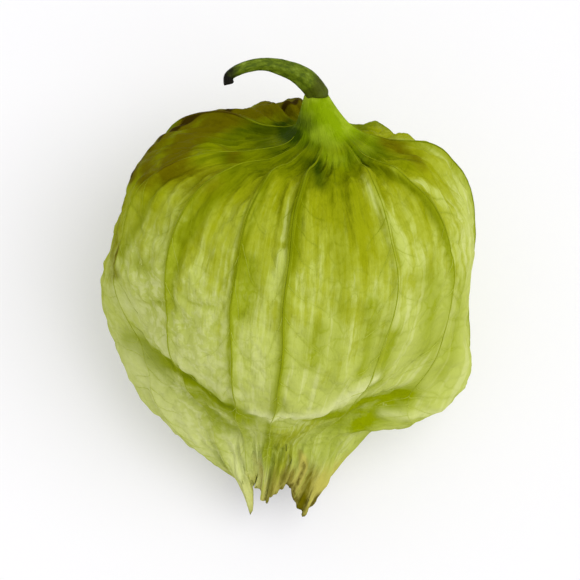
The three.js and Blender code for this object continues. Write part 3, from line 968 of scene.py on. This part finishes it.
@dataclass
class Husk:
    """The inflated papery calyx that grew around the berry, open at its tip.

    Attributes:
        upper, right, under, left: outline (radius, along) on four sides, collar to mouth.
        collar_offset: how far right of the axis the collar's top and foot sit.
        lump: azimuth, half angle and height of a raised shoulder.
        wing_left, wing_right: azimuth, along the stations, where the leaf leaves the berry's upper side.
        ribs: azimuths of the main veins at the shoulder, the belly and the mouth.
        rib_strengths: how thick and dark each of them is.
        pale_from: (azimuth, station) where the leaf turns pale.
        teeth: the mouth's lobes.
        hug_reach, hug_blend: how close to the berry's middle the leaf comes, and the softness there.
        wall: the leaf's thickness.
        panel_columns, rows, inner_rows: how fine the mesh is.
        crowding: how much the columns crowd near the ribs.
        unrolled_radius: the radius at which azimuths are turned into lengths for the patterns.
        floor_blend, floor_sink: how the leaf flattens where it rests.
        tooth_bend: how late along themselves the teeth bend.
        panel_depths: how deep panels sink everywhere, and how much more at the shoulder and mouth.
        ridge_height, ridge_width: the swelling over a rib.
        smooth_patch: azimuth and its width, station and its width, of the smooth side of the collar.
        broad, creases, pleats, puckers, crinkles, ridges: the noise of the crumpled leaf.
        marking_rise: how many stations a marking takes to come up.
        rib_radius, vein_radius: thickness of the strongest rib and of the thin veins.
        vein_gap: the mean gap between thin veins, in stations.
        vein_reach: how far across its panel a thin vein runs.
        vein_drop: how far towards the mouth it runs, in stations.
        vein_seed: fixes their draw.
        thread_clearance: how far the veins stay off the table.

    Every other Span holds the stations between which something starts, ends or changes. Spans
    hold two of them, such as those of a rise and of the fall that follows.
    """

    upper: tuple = (
        (1.55, 26.1), (3.7, 21.2), (7.8, 18.8), (12.4, 18.2), (17.4, 12.8), (20.1, 3.5), (19.2, -6.5),
        (15.2, -13.6), (12.0, -17.0), (9.0, -19.8), (6.9, -22.6), (5.4, -25.9), (3.8, -29.6),
    )
    right: tuple = (
        (1.55, 26.1), (4.6, 21.6), (9.4, 20.2), (16.8, 19.8), (22.3, 15.4), (24.7, 7.4), (24.9, -2.8),
        (26.3, -10.4), (24.2, -16.0), (19.4, -18.8), (14.0, -20.4), (11.0, -24.6), (7.8, -29.4),
    )
    under: tuple = (
        (1.55, 26.1), (4.2, 21.2), (8.4, 18.6), (12.8, 17.2), (18.4, 13.2), (20.9, 4.6), (20.8, -4.0),
        (18.6, -10.4), (15.6, -14.8), (12.2, -18.4), (9.2, -21.8), (7.0, -25.2), (5.6, -28.6),
    )
    left: tuple = (
        (1.55, 26.1), (3.8, 20.9), (8.4, 18.2), (15.6, 17.4), (21.6, 13.6), (23.0, 4.8), (24.6, -3.0),
        (23.2, -10.4), (20.3, -15.8), (16.8, -20.8), (12.7, -24.4), (8.4, -27.4), (4.3, -29.8),
    )
    collar_offset: tuple[float, float] = (1.8, 3.2)
    lump: tuple[float, float, float] = (200.0, 66.0, 2.9)
    wing_left: tuple = (0, 0, 0, 0, 0, 12, 62, 62, 46, 28, 14, 4, 0)
    wing_right: tuple = (0, 0, 0, 0, 0, 6, 42, 60, 58, 44, 26, 8, 0)
    ribs: tuple = (
        (-60, -75, -66), (-38, -47, -46), (-19, -17, -26), (3.3, 2.2, 0), (41, 42, 46), (50, 70, 86),
        (90, 100, 112), (138, 140, 146), (188, 190, 190), (236, 238, 242),
    )
    rib_strengths: tuple = (0.22, 0.4, 0.5, 0.85, 0.25, 0.35, 0.6, 0.8, 0.8, 0.8)
    pale_from: tuple = (
        (-180, 0.4), (-100, 0.48), (-82, 0.45), (-66, 0.385), (-45, 0.37), (-15, 0.38), (6, 0.39), (30, 0.42),
        (43, 0.38), (62, 0.375), (76, 0.36), (92, 0.27), (115, 0.3), (180, 0.38),
    )
    teeth: tuple[Tooth, ...] = (
        Tooth(-38, 5.2, 11, -0.4, 13.0, 1.6),
        Tooth(10, 2.7, 27, 0.2, -3.0, 0.75),
        Tooth(61, 4.2, 19, 0.9, -13.0, 0.8),
        Tooth(155, 2.0, 30, -0.4),
        Tooth(235, 2.0, 30, 0.3),
    )
    hug_reach: float = 19.85
    hug_blend: float = 0.8
    wall: float = 0.3
    panel_columns: int = 40
    rows: int = 200
    inner_rows: int = 24
    crowding: float = 0.55
    unrolled_radius: float = 20.0
    floor_blend: float = 0.3
    floor_sink: float = 0.075
    tooth_zone: Span = (0.88, 1.0)
    tooth_bend: float = 1.5
    collar_bend: Span = (0.0, 0.12)
    collar_centred: Span = (0.08, 0.32)
    lump_over: Spans = ((0.12, 0.24), (0.27, 0.45))
    rib_turns: Spans = ((0.1, 0.5), (0.5, 0.9))
    panel_depths: tuple[float, float, float] = (0.2, 0.7, 0.5)
    panel_start: Span = (0.04, 0.12)
    sunk_shoulder: Spans = ((0.08, 0.2), (0.3, 0.42))
    sunk_skirt: Span = (0.72, 0.85)
    ridge_height: float = 0.34
    ridge_width: float = 0.5
    rib_start: Span = (0.03, 0.14)
    high_ribs: Spans = ((0.06, 0.16), (0.3, 0.5))
    relief_start: Span = (0.06, 0.17)
    smooth_patch: tuple[float, float, float, float] = (-75.0, 50.0, 0.1, 0.05)
    broad: Ripples = Ripples(5, 7.0)
    creases: Ripples = Ripples(11, 4.2)
    pleats: Ripples = Ripples(23, 2.4)
    puckers: Ripples = Ripples(17, 1.7)
    crinkles: Ripples = Ripples(29, 2.3)
    ridges: Ripples = Ripples(31, 2.2)
    pleated_shoulder: Spans = ((0.1, 0.18), (0.28, 0.42))
    pleated_mouth: Span = (0.76, 0.9)
    ridged_side: Spans = ((0.18, 0.26), (0.44, 0.56))
    crinkle_start: Span = (0.34, 0.42)
    pale_front: Span = (0.58, 0.64)
    fresh_until: Span = (0.07, 0.13)
    straw_from: Span = (0.86, 1.0)
    marking_rise: float = 0.14
    rib_radius: float = 0.17
    rib_taper: Span = (0.08, 0.2)
    rib_thins: Span = (0.5, 0.62)
    vein_radius: float = 0.045
    vein_gap: float = 0.042
    vein_starts: Span = (0.28, 0.9)
    vein_reach: Span = (0.15, 0.45)
    vein_drop: Span = (0.02, 0.06)
    vein_seed: int = 4
    thread_clearance: float = 0.08

    def build(self, material: bpy.types.Material) -> bpy.types.Object:
        """Build the husk's wall, outside and inside, as one closed mesh with its tint fields.

        Args:
            material: the leaf skin's finish.

        Returns:
            The skin.
        """
        self.lay_out()
        outer = self.base + grid_normals(self.base) * self.lift()[..., None]
        flattened = soft_max(outer[..., 2], 0.0, self.floor_blend) - self.floor_sink
        outer[..., 2] = np.maximum(flattened, 0.0)
        self.outer = outer
        inside = np.unique(np.linspace(0, self.rows - 1, self.inner_rows).astype(int))[::-1]
        inner = outer[inside] - grid_normals(outer)[inside] * self.wall
        inner[..., 2] = np.maximum(inner[..., 2], self.wall)
        mesh = closed_grid_mesh(np.concatenate([outer, inner]), "husk_skin")
        for name, values in self.fields.items():
            add_numbers(mesh, name, np.concatenate([values, values[inside]]))
        add_vectors(mesh, "skin_place", np.concatenate([self.unrolled, self.unrolled[inside]]))
        mesh.materials.append(material)
        return make_object("husk_skin", mesh)

    # -- where the leaf runs

    def outline(self, station: Grid, azimuth: Grid) -> Grid:
        """Return the husk's (radius, along) at stations and azimuths in degrees."""
        upper, right, under, left = (
            catmull_rom(side, station) for side in (self.upper, self.right, self.under, self.left)
        )
        turned = np.mod(azimuth, FULL_TURN)
        on_right = turned <= UNDERSIDE
        side = np.where(on_right[..., None], right, left)
        from_top = np.minimum(turned, FULL_TURN - turned)
        both_wings = (self.wing_right, self.wing_left)
        starts = (catmull_rom([[a] for a in wing], station)[..., 0] for wing in both_wings)
        start = np.maximum(np.where(on_right, *starts), 0.0)
        above = smooth_step(from_top, start, SIDE)[..., None]
        below = smooth_step(from_top, SIDE, UNDERSIDE)[..., None]
        over = upper + (side - upper) * above
        beneath = side + (under - side) * below
        return np.where((from_top <= SIDE)[..., None], over, beneath)

    def surface(self, station: Grid, azimuth: Grid, relief: Grid | float = 0.0) -> Grid:
        """Return points of the leaf's outer face in millimetres of the part's frame.

        Args:
            station: how far from the collar to the mouth.
            azimuth: how far round the axis, in degrees.
            relief: how far the leaf bulges there, before it is pushed clear of the berry.

        Returns:
            A point for each station and azimuth.
        """
        line = self.outline(station, azimuth)
        reach = np.linalg.norm(line, axis=-1)
        line = line * (soft_max(reach + relief, self.hug_reach, self.hug_blend) / reach)[..., None]
        radius, along, azimuth = line[..., 0], line[..., 1] + self.raised(station, azimuth), azimuth * 1.0
        edge = smooth_step(station, *self.tooth_zone)
        longest = np.zeros_like(radius)
        for tooth in self.teeth:
            share = np.clip(1.0 - angle_between(azimuth, tooth.azimuth) / tooth.half_angle, 0.0, 1.0)
            longest = np.maximum(longest, tooth.length * share**tooth.sharpness)
            radius = radius + tooth.curl * share**self.tooth_bend * edge**2
            azimuth = azimuth + tooth.sway * share**self.tooth_bend * edge**2
        along = along - longest * edge
        top, foot = self.collar_offset
        off_middle = top + (foot - top) * smooth_step(station, *self.collar_bend)
        shift = off_middle * (1.0 - smooth_step(station, *self.collar_centred))
        turn = np.radians(azimuth)
        return to_part(radius * np.sin(turn) + shift, radius * np.cos(turn), along)

    def raised(self, station: Grid, azimuth: Grid) -> Grid:
        """Return how far the raised shoulder stands towards the stalk."""
        middle, half_angle, height = self.lump
        apart = np.minimum(angle_between(azimuth, middle) / half_angle, 1.0)
        share = np.cos(0.5 * math.pi * apart) ** 2
        return height * share * plateau(station, *self.lump_over)

    def rib_azimuth(self, rib: Sequence[float], station: Grid) -> Grid:
        """Return a rib's azimuth at stations."""
        shoulder, belly, mouth = rib
        upper_turn, lower_turn = self.rib_turns
        first = shoulder + (belly - shoulder) * smooth_step(station, *upper_turn)
        second = belly + (mouth - belly) * smooth_step(station, *lower_turn)
        sway = 0.7 * np.sin(station * 23.0 + belly) + 0.35 * np.sin(station * 61.0 + 2.0 * belly)
        return np.where(station < lower_turn[0], first, second) + sway

    # -- the grid

    def lay_out(self) -> None:
        """Lay the grid: rows of stations, and columns that follow the ribs and crowd near them."""
        station = self.row_stations()
        even = np.arange(self.panel_columns) / self.panel_columns
        self.panel_shares = even - self.crowding * np.sin(2.0 * math.pi * even) / (2.0 * math.pi)
        azimuths = []
        for i, rib in enumerate(self.ribs):
            start = self.rib_azimuth(rib, station)[:, None]
            following = self.rib_azimuth(self.ribs[(i + 1) % len(self.ribs)], station)[:, None]
            azimuths.append(start + np.mod(following - start, FULL_TURN) * self.panel_shares)
        self.azimuth = np.concatenate(azimuths, axis=1)
        self.across = np.broadcast_to(np.tile(self.panel_shares, len(self.ribs)), self.azimuth.shape)
        self.station = np.broadcast_to(station[:, None], self.azimuth.shape)
        self.base = self.surface(self.station, self.azimuth, self.relief())
        self.run = self.running_length()
        turn = np.radians(self.azimuth)
        wide = self.unrolled_radius * np.stack([np.cos(turn), np.sin(turn)], -1)
        self.unrolled = np.concatenate([wide, self.run[..., None]], axis=-1)

    def row_stations(self) -> Grid:
        """Return stations whose rings are evenly spaced along the husk."""
        fine = np.linspace(0.0, 1.0, 600)
        middle = sum(catmull_rom(side, fine) for side in (self.upper, self.right, self.left)) / 3.0
        steps = np.linalg.norm(np.diff(middle, axis=0), axis=1)
        run = np.concatenate([[0.0], np.cumsum(steps)])
        return np.interp(np.linspace(0.0, run[-1], self.rows), run, fine)

    def running_length(self) -> Grid:
        """Return how far each point lies from the collar along the leaf, in millimetres."""
        steps = np.linalg.norm(np.diff(self.base, axis=0), axis=2).mean(axis=1)
        run = np.concatenate([[0.0], np.cumsum(steps)])
        return np.broadcast_to(run[:, None], self.azimuth.shape)

    def at_share(self, panel: int, share: Grid, station: Grid, grid: Grid) -> Grid:
        """Read a grid inside a panel.

        Args:
            panel: the panel's number.
            share: how far across the panel, 0 to 1.
            station: how far from the collar to the mouth.
            grid: what is read.

        Returns:
            A value for each share and station.
        """
        columns = np.interp(share, np.append(self.panel_shares, 1.0), np.arange(self.panel_columns + 1))
        rows = np.interp(station, self.station[:, 0], np.arange(self.rows))
        return sample(grid, rows, panel * self.panel_columns + columns)

    # -- relief and colour

    def relief(self) -> Grid:
        """Return how far the panels sink between the ribs."""
        crown = np.sin(math.pi * self.across)
        shoulder = plateau(self.station, *self.sunk_shoulder)
        skirt = smooth_step(self.station, *self.sunk_skirt)
        plain, at_shoulder, at_skirt = self.panel_depths
        depth = plain + at_shoulder * shoulder + at_skirt * skirt
        return -crown * depth * smooth_step(self.station, *self.panel_start)

    def lift(self) -> Grid:
        """Return how far the leaf stands off its plain form, and paint its fields on the way."""
        radius = self.outline(self.station, self.azimuth)[..., 0]
        rib_lines = [self.rib_azimuth(rib, self.station) for rib in self.ribs]
        gaps = np.stack([angle_between(self.azimuth, line) for line in rib_lines])
        to_rib = np.radians(gaps.min(axis=0)) * radius
        strength = np.array(self.rib_strengths)[gaps.argmin(axis=0)]
        shoulder = plateau(self.station, *self.high_ribs)
        started = smooth_step(self.station, *self.rib_start)
        ridge = self.ridge_height * bell(to_rib, self.ridge_width) * started * (1.0 + 0.9 * shoulder)
        to_vein = self.distance_to_veins()
        turned = np.mod(self.azimuth + UNDERSIDE, FULL_TURN) - UNDERSIDE
        front = self.beside(18.0, 42.0) * smooth_step(self.station, *self.pale_front)
        age = self.station - np.interp(turned, *np.array(self.pale_from).T)
        self.fields = {
            "age": age * (1.0 - front) - 0.01 * front,
            "rib_near": started * strength * (0.85 * bell(to_rib, 0.7) + 0.3 * bell(to_rib, 1.2)),
            "vein_near": bell(to_vein, 0.22) * started,
            "crinkled": self.beside(-48.0, 34.0) * smooth_step(self.station, *self.crinkle_start),
            **{tint.value: np.zeros_like(self.azimuth) for tint in Tint},
        }
        away = smooth_step(self.station, *self.relief_start) * (1.0 - 0.8 * bell(to_rib, 0.8))
        azimuth, azimuth_width, station, station_width = self.smooth_patch
        smooth = self.beside(azimuth, azimuth_width) * bell(self.station - station, station_width)
        return (ridge + self.crumple(to_vein) * away) * (1.0 - 0.85 * smooth) - self.paint()

    def beside(self, azimuth: float, width: float) -> Grid:
        """Return 1 along an azimuth, falling smoothly to nearly 0 two widths away, in degrees."""
        return bell(angle_between(self.azimuth, azimuth), width)

    def crumple(self, to_vein: Grid) -> Grid:
        """Return the leaf's pleats, creases and puckers.

        Args:
            to_vein: the distance to the nearest thin vein.

        Returns:
            How far they lift the surface.
        """
        drawn_out = self.unrolled * np.array([1.0, 1.0, 0.35])
        far_drawn_out = self.unrolled * np.array([1.0, 1.0, 0.12])
        skirt = smooth_step(self.station, *self.pleated_mouth)
        shoulder = plateau(self.station, *self.pleated_shoulder)
        right = self.beside(70.0, 24.0) * plateau(self.station, *self.ridged_side)
        broad = 0.15 * self.broad.at(self.base)
        creases = 0.2 * self.creases.creased(self.base)
        pleats = (0.1 + 0.3 * skirt + 0.2 * shoulder) * self.pleats.at(drawn_out)
        puckers = 0.13 * (1.0 - bell(to_vein, 0.8)) + 0.05 * self.puckers.at(self.base)
        crinkles = 0.1 * self.fields["crinkled"] * self.crinkles.at(self.base)
        ridges = 0.14 * right * self.ridges.at(far_drawn_out)
        return broad + creases + pleats + puckers + crinkles + ridges

    def paint(self) -> Grid:
        """Paint the markings and the mouth's withered edge, and return how deep they sink."""
        sunk = np.zeros_like(self.azimuth)
        for mark in MARKINGS:
            corners = np.array(mark.path, float)
            line = catmull_rom(corners, np.linspace(0.0, 1.0, 12 * (len(corners) - 1) + 1))
            path = self.surface(line[:, 1], line[:, 0])
            near = bell(distance_to_path(self.base, path), mark.width)
            if mark.shows_from:
                risen = mark.shows_from + self.marking_rise
                near = near * smooth_step(self.station, mark.shows_from, risen)
            sunk += mark.depth * near
            for tint, strength in mark.tints.items():
                self.tint(tint, strength * near)
        self.tint(Tint.FRESH, 1.0 - smooth_step(self.station, *self.fresh_until))
        edge = smooth_step(self.station, *self.straw_from)
        self.tint(Tint.STRAW, edge * (0.44 + 0.55 * self.beside(55.0, 45.0)))
        return sunk

    def tint(self, tint: Tint, strength: Grid) -> None:
        """Paint a tint, where it is stronger than what is there."""
        self.fields[tint.value] = np.maximum(self.fields[tint.value], strength)

    # -- veins

    def vein_routes(self) -> list[tuple[int, Grid, Grid]]:
        """Return the thin veins' routes: they leave the ribs on both sides and run down the panels.

        Returns:
            The panel, shares across it and stations of each.
        """
        draw = np.random.default_rng(self.vein_seed)
        steps = np.linspace(0.0, 1.0, 9)
        first, last = self.vein_starts
        routes = []
        for panel in range(len(self.ribs)):
            for from_next in (False, True):
                start = first + draw.uniform(0.0, self.vein_gap)
                while start < last:
                    reach, drop = draw.uniform(*self.vein_reach), draw.uniform(*self.vein_drop)
                    bend = 0.03 * np.sin(steps * draw.uniform(5.0, 10.0) + draw.uniform(0.0, 6.0)) * steps
                    share = reach * steps**1.15 + bend
                    station = np.minimum(start + drop * steps**0.85, 0.98)
                    routes.append((panel, 1.0 - share if from_next else share, station))
                    start += self.vein_gap * draw.uniform(0.6, 1.5)
        return routes

    def distance_to_veins(self) -> Grid:
        """Return the distance of each point to the nearest thin vein of its panel."""
        best = np.full(self.azimuth.shape, 9.0)
        for panel, share, station in self.vein_routes():
            path = self.at_share(panel, share, station, self.base)
            across = slice(panel * self.panel_columns, (panel + 1) * self.panel_columns)
            near = np.searchsorted(self.station[:, 0], [station[0] - 0.06, station[-1] + 0.06])
            patch = (slice(*near), across)
            best[patch] = np.minimum(best[patch], distance_to_path(self.base[patch], path))
        return best

    def threads(self) -> list[Thread]:
        """Return the ribs and the thin veins as threads on the finished skin."""
        dry, station = self.fields[Tint.DRY.value], self.station[:, 0]
        kept = slice(int(np.searchsorted(station, 0.09)), self.rows - 1)
        place = station[kept]
        taper = smooth_step(place, *self.rib_taper) * (1.0 - 0.75 * smooth_step(place, *self.rib_thins))
        threads = []
        for i, strength in enumerate(self.rib_strengths):
            column = i * self.panel_columns
            wobble = 1.0 + 0.16 * np.sin(place * 95.0 + i) * np.sin(place * 37.0 + 2.0 * i)
            radius = self.rib_radius * strength * taper * wobble + 0.02
            tone = (0.8 - 0.3 * smooth_step(place, 0.3, 0.5)) * min(1.0, 0.5 + strength)
            tone = tone * (1.0 - 0.6 * smooth_step(place, 0.55, 0.65))
            points = self.above_table(self.outer[kept, column], radius)
            threads.append(Thread(points, radius, tone, dry[kept, column]))
        for panel, share, stations in self.vein_routes():
            fine = np.linspace(0.0, 1.0, 17)
            share = np.interp(fine, np.linspace(0.0, 1.0, len(share)), share)
            stations = np.interp(fine, np.linspace(0.0, 1.0, len(stations)), stations)
            points = self.at_share(panel, share, stations, self.outer)
            age = self.at_share(panel, share, stations, self.fields["age"])
            tone = 0.5 - 0.42 * smooth_step(age, -0.1, 0.08)
            radius = self.vein_radius * (1.0 - 0.7 * fine)
            points = self.above_table(points, radius)
            threads.append(Thread(points, radius, tone, self.at_share(panel, share, stations, dry)))
        return threads

    def above_table(self, points: Grid, radius: Grid) -> Grid:
        """Lift a thread's points where its underside would sink into the table."""
        lowest = radius + self.thread_clearance
        return np.concatenate([points[:, :2], np.maximum(points[:, 2], lowest)[:, None]], axis=1)


@dataclass
class HuskVeins:
    """The husk's ten main ribs and the thin veins between them, swept along their routes."""

    sides: int = 6
    lumps_per_metre: float = 700.0
    lump_height: float = 0.00008

    def build(self, threads: Sequence[Thread], material: bpy.types.Material) -> bpy.types.Object:
        """Sweep the veins.

        Args:
            threads: their routes on the skin.
            material: their finish.

        Returns:
            The veins as one piece.
        """
        sizes = {"Lump pitch": self.lumps_per_metre, "Lump height": self.lump_height}
        tree = ShapeTree("vein_sweep", sizes)
        tube = tree.swept(tree.lines(), tree.circle(self.sides))
        tube = tree.roughened(tube, tree.size("Lump pitch"), tree.size("Lump height"))
        tree.finish(tube, material)
        return tree.grow("husk_veins", thread_mesh("vein_routes", threads))


# ---- stalk ---------------------------------------------------------------------------------


@dataclass
class Stalk:
    """The hooked stalk: five-sided, swollen where it leaves the collar, broken off at its end.

    Attributes:
        line: its middle line (right, up, along) and its radius there.
        edges: how many soft edges its section has.
        edge_depth: how far its sides sink between them, as a share of the radius.
        knots: (place, width, height) of swellings, as shares of its length and radius.
        blunt_from: where along it the broken end starts to round off.
    """

    line: tuple = (
        (3.1, 0.0, 19.8, 1.2), (2.6, 0.0, 22.8, 1.3), (1.95, 0.0, 25.3, 1.42), (1.5, 0.1, 26.7, 1.5),
        (-0.1, 0.6, 28.4, 1.46), (-2.3, 1.5, 29.7, 1.2), (-5.4, 2.6, 30.5, 0.92), (-8.3, 3.8, 30.0, 0.78),
        (-9.9, 4.5, 28.9, 0.7), (-9.7, 4.9, 27.9, 0.7),
    )
    edges: int = 5
    edge_depth: float = 0.05
    knots: tuple = ((0.62, 0.03, 0.06), (0.96, 0.02, 0.08), (0.3, 0.02, 0.05))
    blunt_from: float = 0.978
    steps: int = 220
    sides: int = 40
    lumps_per_metre: float = 330.0
    lump_height: float = 0.00032

    def thread(self) -> Thread:
        """Return the stalk's line, with a few knots in its thickness."""
        share = np.linspace(0.0, 1.0, self.steps)
        line = catmull_rom(self.line, share)
        knots = sum(height * bell(share - place, width) for place, width, height in self.knots)
        past = np.clip((share - self.blunt_from) / (1.0 - self.blunt_from), 0.0, 1.0)
        blunt = np.sqrt(np.maximum(1.0 - past**2, 0.02))
        radius = line[:, 3] * (1.0 + knots) * blunt
        points = to_part(line[:, 0], line[:, 1], line[:, 2])
        return Thread(points, radius, np.ones(self.steps), np.zeros(self.steps))

    def build(self, material: bpy.types.Material) -> bpy.types.Object:
        """Sweep the stalk.

        Args:
            material: its finish.

        Returns:
            The stalk.
        """
        sizes = {
            "Edge depth": self.edge_depth,
            "Lump pitch": self.lumps_per_metre,
            "Lump height": self.lump_height,
        }
        tree = ShapeTree("stalk_sweep", sizes)
        lines = tree.lines()
        run = tree.graph.node("GeometryNodeSplineParameter").outputs["Factor"]
        lines = tree.stored(lines, "run", "FLOAT", run)
        tube = tree.swept(lines, self.profile(tree))
        tube = tree.roughened(tube, tree.size("Lump pitch"), tree.size("Lump height"))
        settings = {"data_type": "FLOAT_VECTOR"}
        place = tree.graph.node("GeometryNodeInputNamedAttribute", settings, {"Name": "round"})
        lengthwise = tree.vector(0.0, 0.0, tree.number("run") * 40.0)
        unrolled = tree.vector_math("ADD", place.outputs["Attribute"], lengthwise)
        tube = tree.stored(tube, "stalk_place", "FLOAT_VECTOR", unrolled)
        tree.finish(tube, material)
        return tree.grow("stalk", thread_mesh("stalk_route", [self.thread()]))

    def profile(self, tree: ShapeTree) -> bpy.types.NodeSocket:
        """Return the stalk's section: a circle of radius 1 whose sides sink between soft edges."""
        circle = tree.circle(self.sides)
        whole, (x, y, _) = tree.place()
        turn = y.math("ARCTAN2", x) * float(self.edges)
        share = (turn.math("COSINE") - 1.0) * tree.size("Edge depth") + 1.0
        circle = tree.moved(circle, {"Position": tree.scaled(whole, share)})
        return tree.stored(circle, "round", "FLOAT_VECTOR", whole)


# ---- berry ---------------------------------------------------------------------------------


@dataclass
class Berry:
    """The round fruit inside the husk, a little squarer than a ball, seen through the mouth."""

    radius: float = 0.0190
    half_height: float = 0.0182
    squareness: float = 2.15
    dimple: float = 0.0011
    segments: int = 96
    rings: int = 64

    def build(self, material: bpy.types.Material) -> bpy.types.Object:
        """Grow the berry from a ball.

        Args:
            material: its finish.

        Returns:
            The berry.
        """
        sizes = {
            "Radius": self.radius,
            "Half height": self.half_height,
            "Squareness": self.squareness,
            "Dimple": self.dimple,
        }
        tree = ShapeTree("berry_form", sizes)
        sockets = {"Segments": self.segments, "Rings": self.rings, "Radius": 1.0}
        ball = tree.graph.node("GeometryNodeMeshUVSphere", None, sockets).outputs[0]
        _, (x, y, z) = tree.place()
        power = tree.size("Squareness")
        across = (x * x + y * y).math("SQRT")
        total = across**power + z.math("ABSOLUTE") ** power
        share = total ** (-1.0 / power)
        pole = across.step(0.35, 0.0) * tree.size("Dimple")
        height = z * share * (tree.size("Half height") - pole)
        width = share * tree.size("Radius")
        formed = tree.moved(ball, {"Position": tree.vector(x * width, y * width, height)})
        tree.finish(self.tipped(tree, formed), material)
        return tree.grow("berry_flesh", bpy.data.meshes.new("berry_start"))

    @staticmethod
    def tipped(tree: ShapeTree, shape: bpy.types.NodeSocket) -> bpy.types.NodeSocket:
        """Tip the upright berry so that its stalk end rises, and lift it to its place."""
        tilt = LEAN - math.pi / 2.0
        sockets = {
            "Geometry": shape,
            "Translation": (0.0, 0.0, CENTRE_HEIGHT * MILLIMETRE),
            "Rotation": (tilt, 0.0, 0.0),
        }
        return tree.graph.node("GeometryNodeTransform", None, sockets).outputs[0]


# ---- stage ---------------------------------------------------------------------------------


@dataclass
class Stage:
    """White table, soft light from the upper right and a camera that looks down on the fruit."""

    azimuth: float = 6.0
    elevation: float = 82.0
    lens: float = 300.0
    sensor: float = 36.0
    frame_height: float = 0.078
    target: tuple[float, float, float] = (0.0008, -0.002, 0.020)
    table_half: float = 3.0
    table_white: Colour = (0.85, 0.84, 0.88, 1.0)
    table_seen: Colour = (0.62, 0.613, 0.635, 1.0)
    table_glow: float = 0.33
    sun_energy: float = 1.5
    sun_spread: float = 50.0
    sun_towards: tuple[float, float, float] = (0.46, 0.08, 0.9)
    sky: float = 0.68

    def build(self) -> None:
        """Build table, lamp, sky and camera."""
        self.build_table()
        self.build_light()
        self.build_camera()

    def build_table(self) -> None:
        """Lay the white table, which glows a little to the camera so that it reads as white."""
        half = self.table_half
        mesh = bpy.data.meshes.new("table_top")
        corners = [(-half, -half, 0.0), (half, -half, 0.0), (half, half, 0.0), (-half, half, 0.0)]
        mesh.from_pydata(corners, [], [(0, 1, 2, 3)])
        table = make_object("table_top", mesh)
        f = Finish("table_white")
        rays = f.graph.node("ShaderNodeLightPath").outputs
        seen = Signal(f.graph, rays["Is Camera Ray"]).larger(Signal(f.graph, rays["Is Glossy Ray"]))
        white = f.mix(seen, self.table_white, self.table_seen)
        f.settle({"Base Color": white}, {"Roughness": 0.9, "Specular IOR Level": 0.0})
        glow = f.graph.node("ShaderNodeEmission", None, {"Strength": seen * self.table_glow})
        both = f.graph.node("ShaderNodeAddShader", None, {0: f.surface.outputs[0], 1: glow.outputs[0]})
        f.graph.feed(f.material.node_tree.nodes["Material Output"].inputs["Surface"], both.outputs[0])
        mesh.materials.append(f.material)

    def build_light(self) -> None:
        """Hang one broad sun at the upper right and fill with an even sky."""
        lamp = bpy.data.lights.new("window_light", "SUN")
        lamp.energy = self.sun_energy
        lamp.angle = math.radians(self.sun_spread)
        sun = bpy.data.objects.new("window_light", lamp)
        bpy.context.scene.collection.objects.link(sun)
        sun.rotation_euler = Vector(self.sun_towards).to_track_quat("Z", "Y").to_euler()
        world = bpy.data.worlds.new("even_sky")
        world.use_nodes = True
        background = world.node_tree.nodes["Background"]
        background.inputs["Color"].default_value = (1.0, 1.0, 1.0, 1.0)
        background.inputs["Strength"].default_value = self.sky
        bpy.context.scene.world = world

    def build_camera(self) -> None:
        """Place the camera."""
        data = bpy.data.cameras.new("camera")
        data.lens = self.lens
        data.sensor_width = self.sensor
        data.clip_start, data.clip_end = 0.01, 20.0
        camera = bpy.data.objects.new("camera", data)
        bpy.context.scene.collection.objects.link(camera)
        turn, rise = math.radians(self.azimuth), math.radians(self.elevation)
        back = Vector((math.sin(turn) * math.cos(rise), -math.cos(turn) * math.cos(rise), math.sin(rise)))
        camera.location = Vector(self.target) + back * (self.frame_height * self.lens / self.sensor)
        camera.rotation_euler = back.to_track_quat("Z", "Y").to_euler()
        bpy.context.scene.camera = camera


# ---- the whole fruit -----------------------------------------------------------------------


def attach(piece: bpy.types.Object, node: str) -> None:
    """Let a piece stand for a CAD node, on the part's only body.

    Args:
        piece: the new piece.
        node: the CAD node that it stands for.
    """
    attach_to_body(piece, "root")
    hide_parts(node)
    LOG.info("%s: %d faces, for %s", piece.name, len(piece.data.polygons), node)


def main() -> None:
    """Build the fruit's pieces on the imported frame, then the stage."""
    logging.basicConfig(level=logging.INFO, format="%(name)s: %(message)s")
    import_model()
    bpy.context.scene.view_settings.view_transform = "Standard"

    husk = Husk()
    attach(husk.build(HuskFinish().build()), "husk")
    attach(HuskVeins().build(husk.threads(), VeinFinish().build()), "husk")
    attach(Stalk().build(StalkFinish().build()), "stem")
    attach(Berry().build(BerryFinish().build()), "berry")
    Stage().build()


if __name__ == "__main__":
    main()
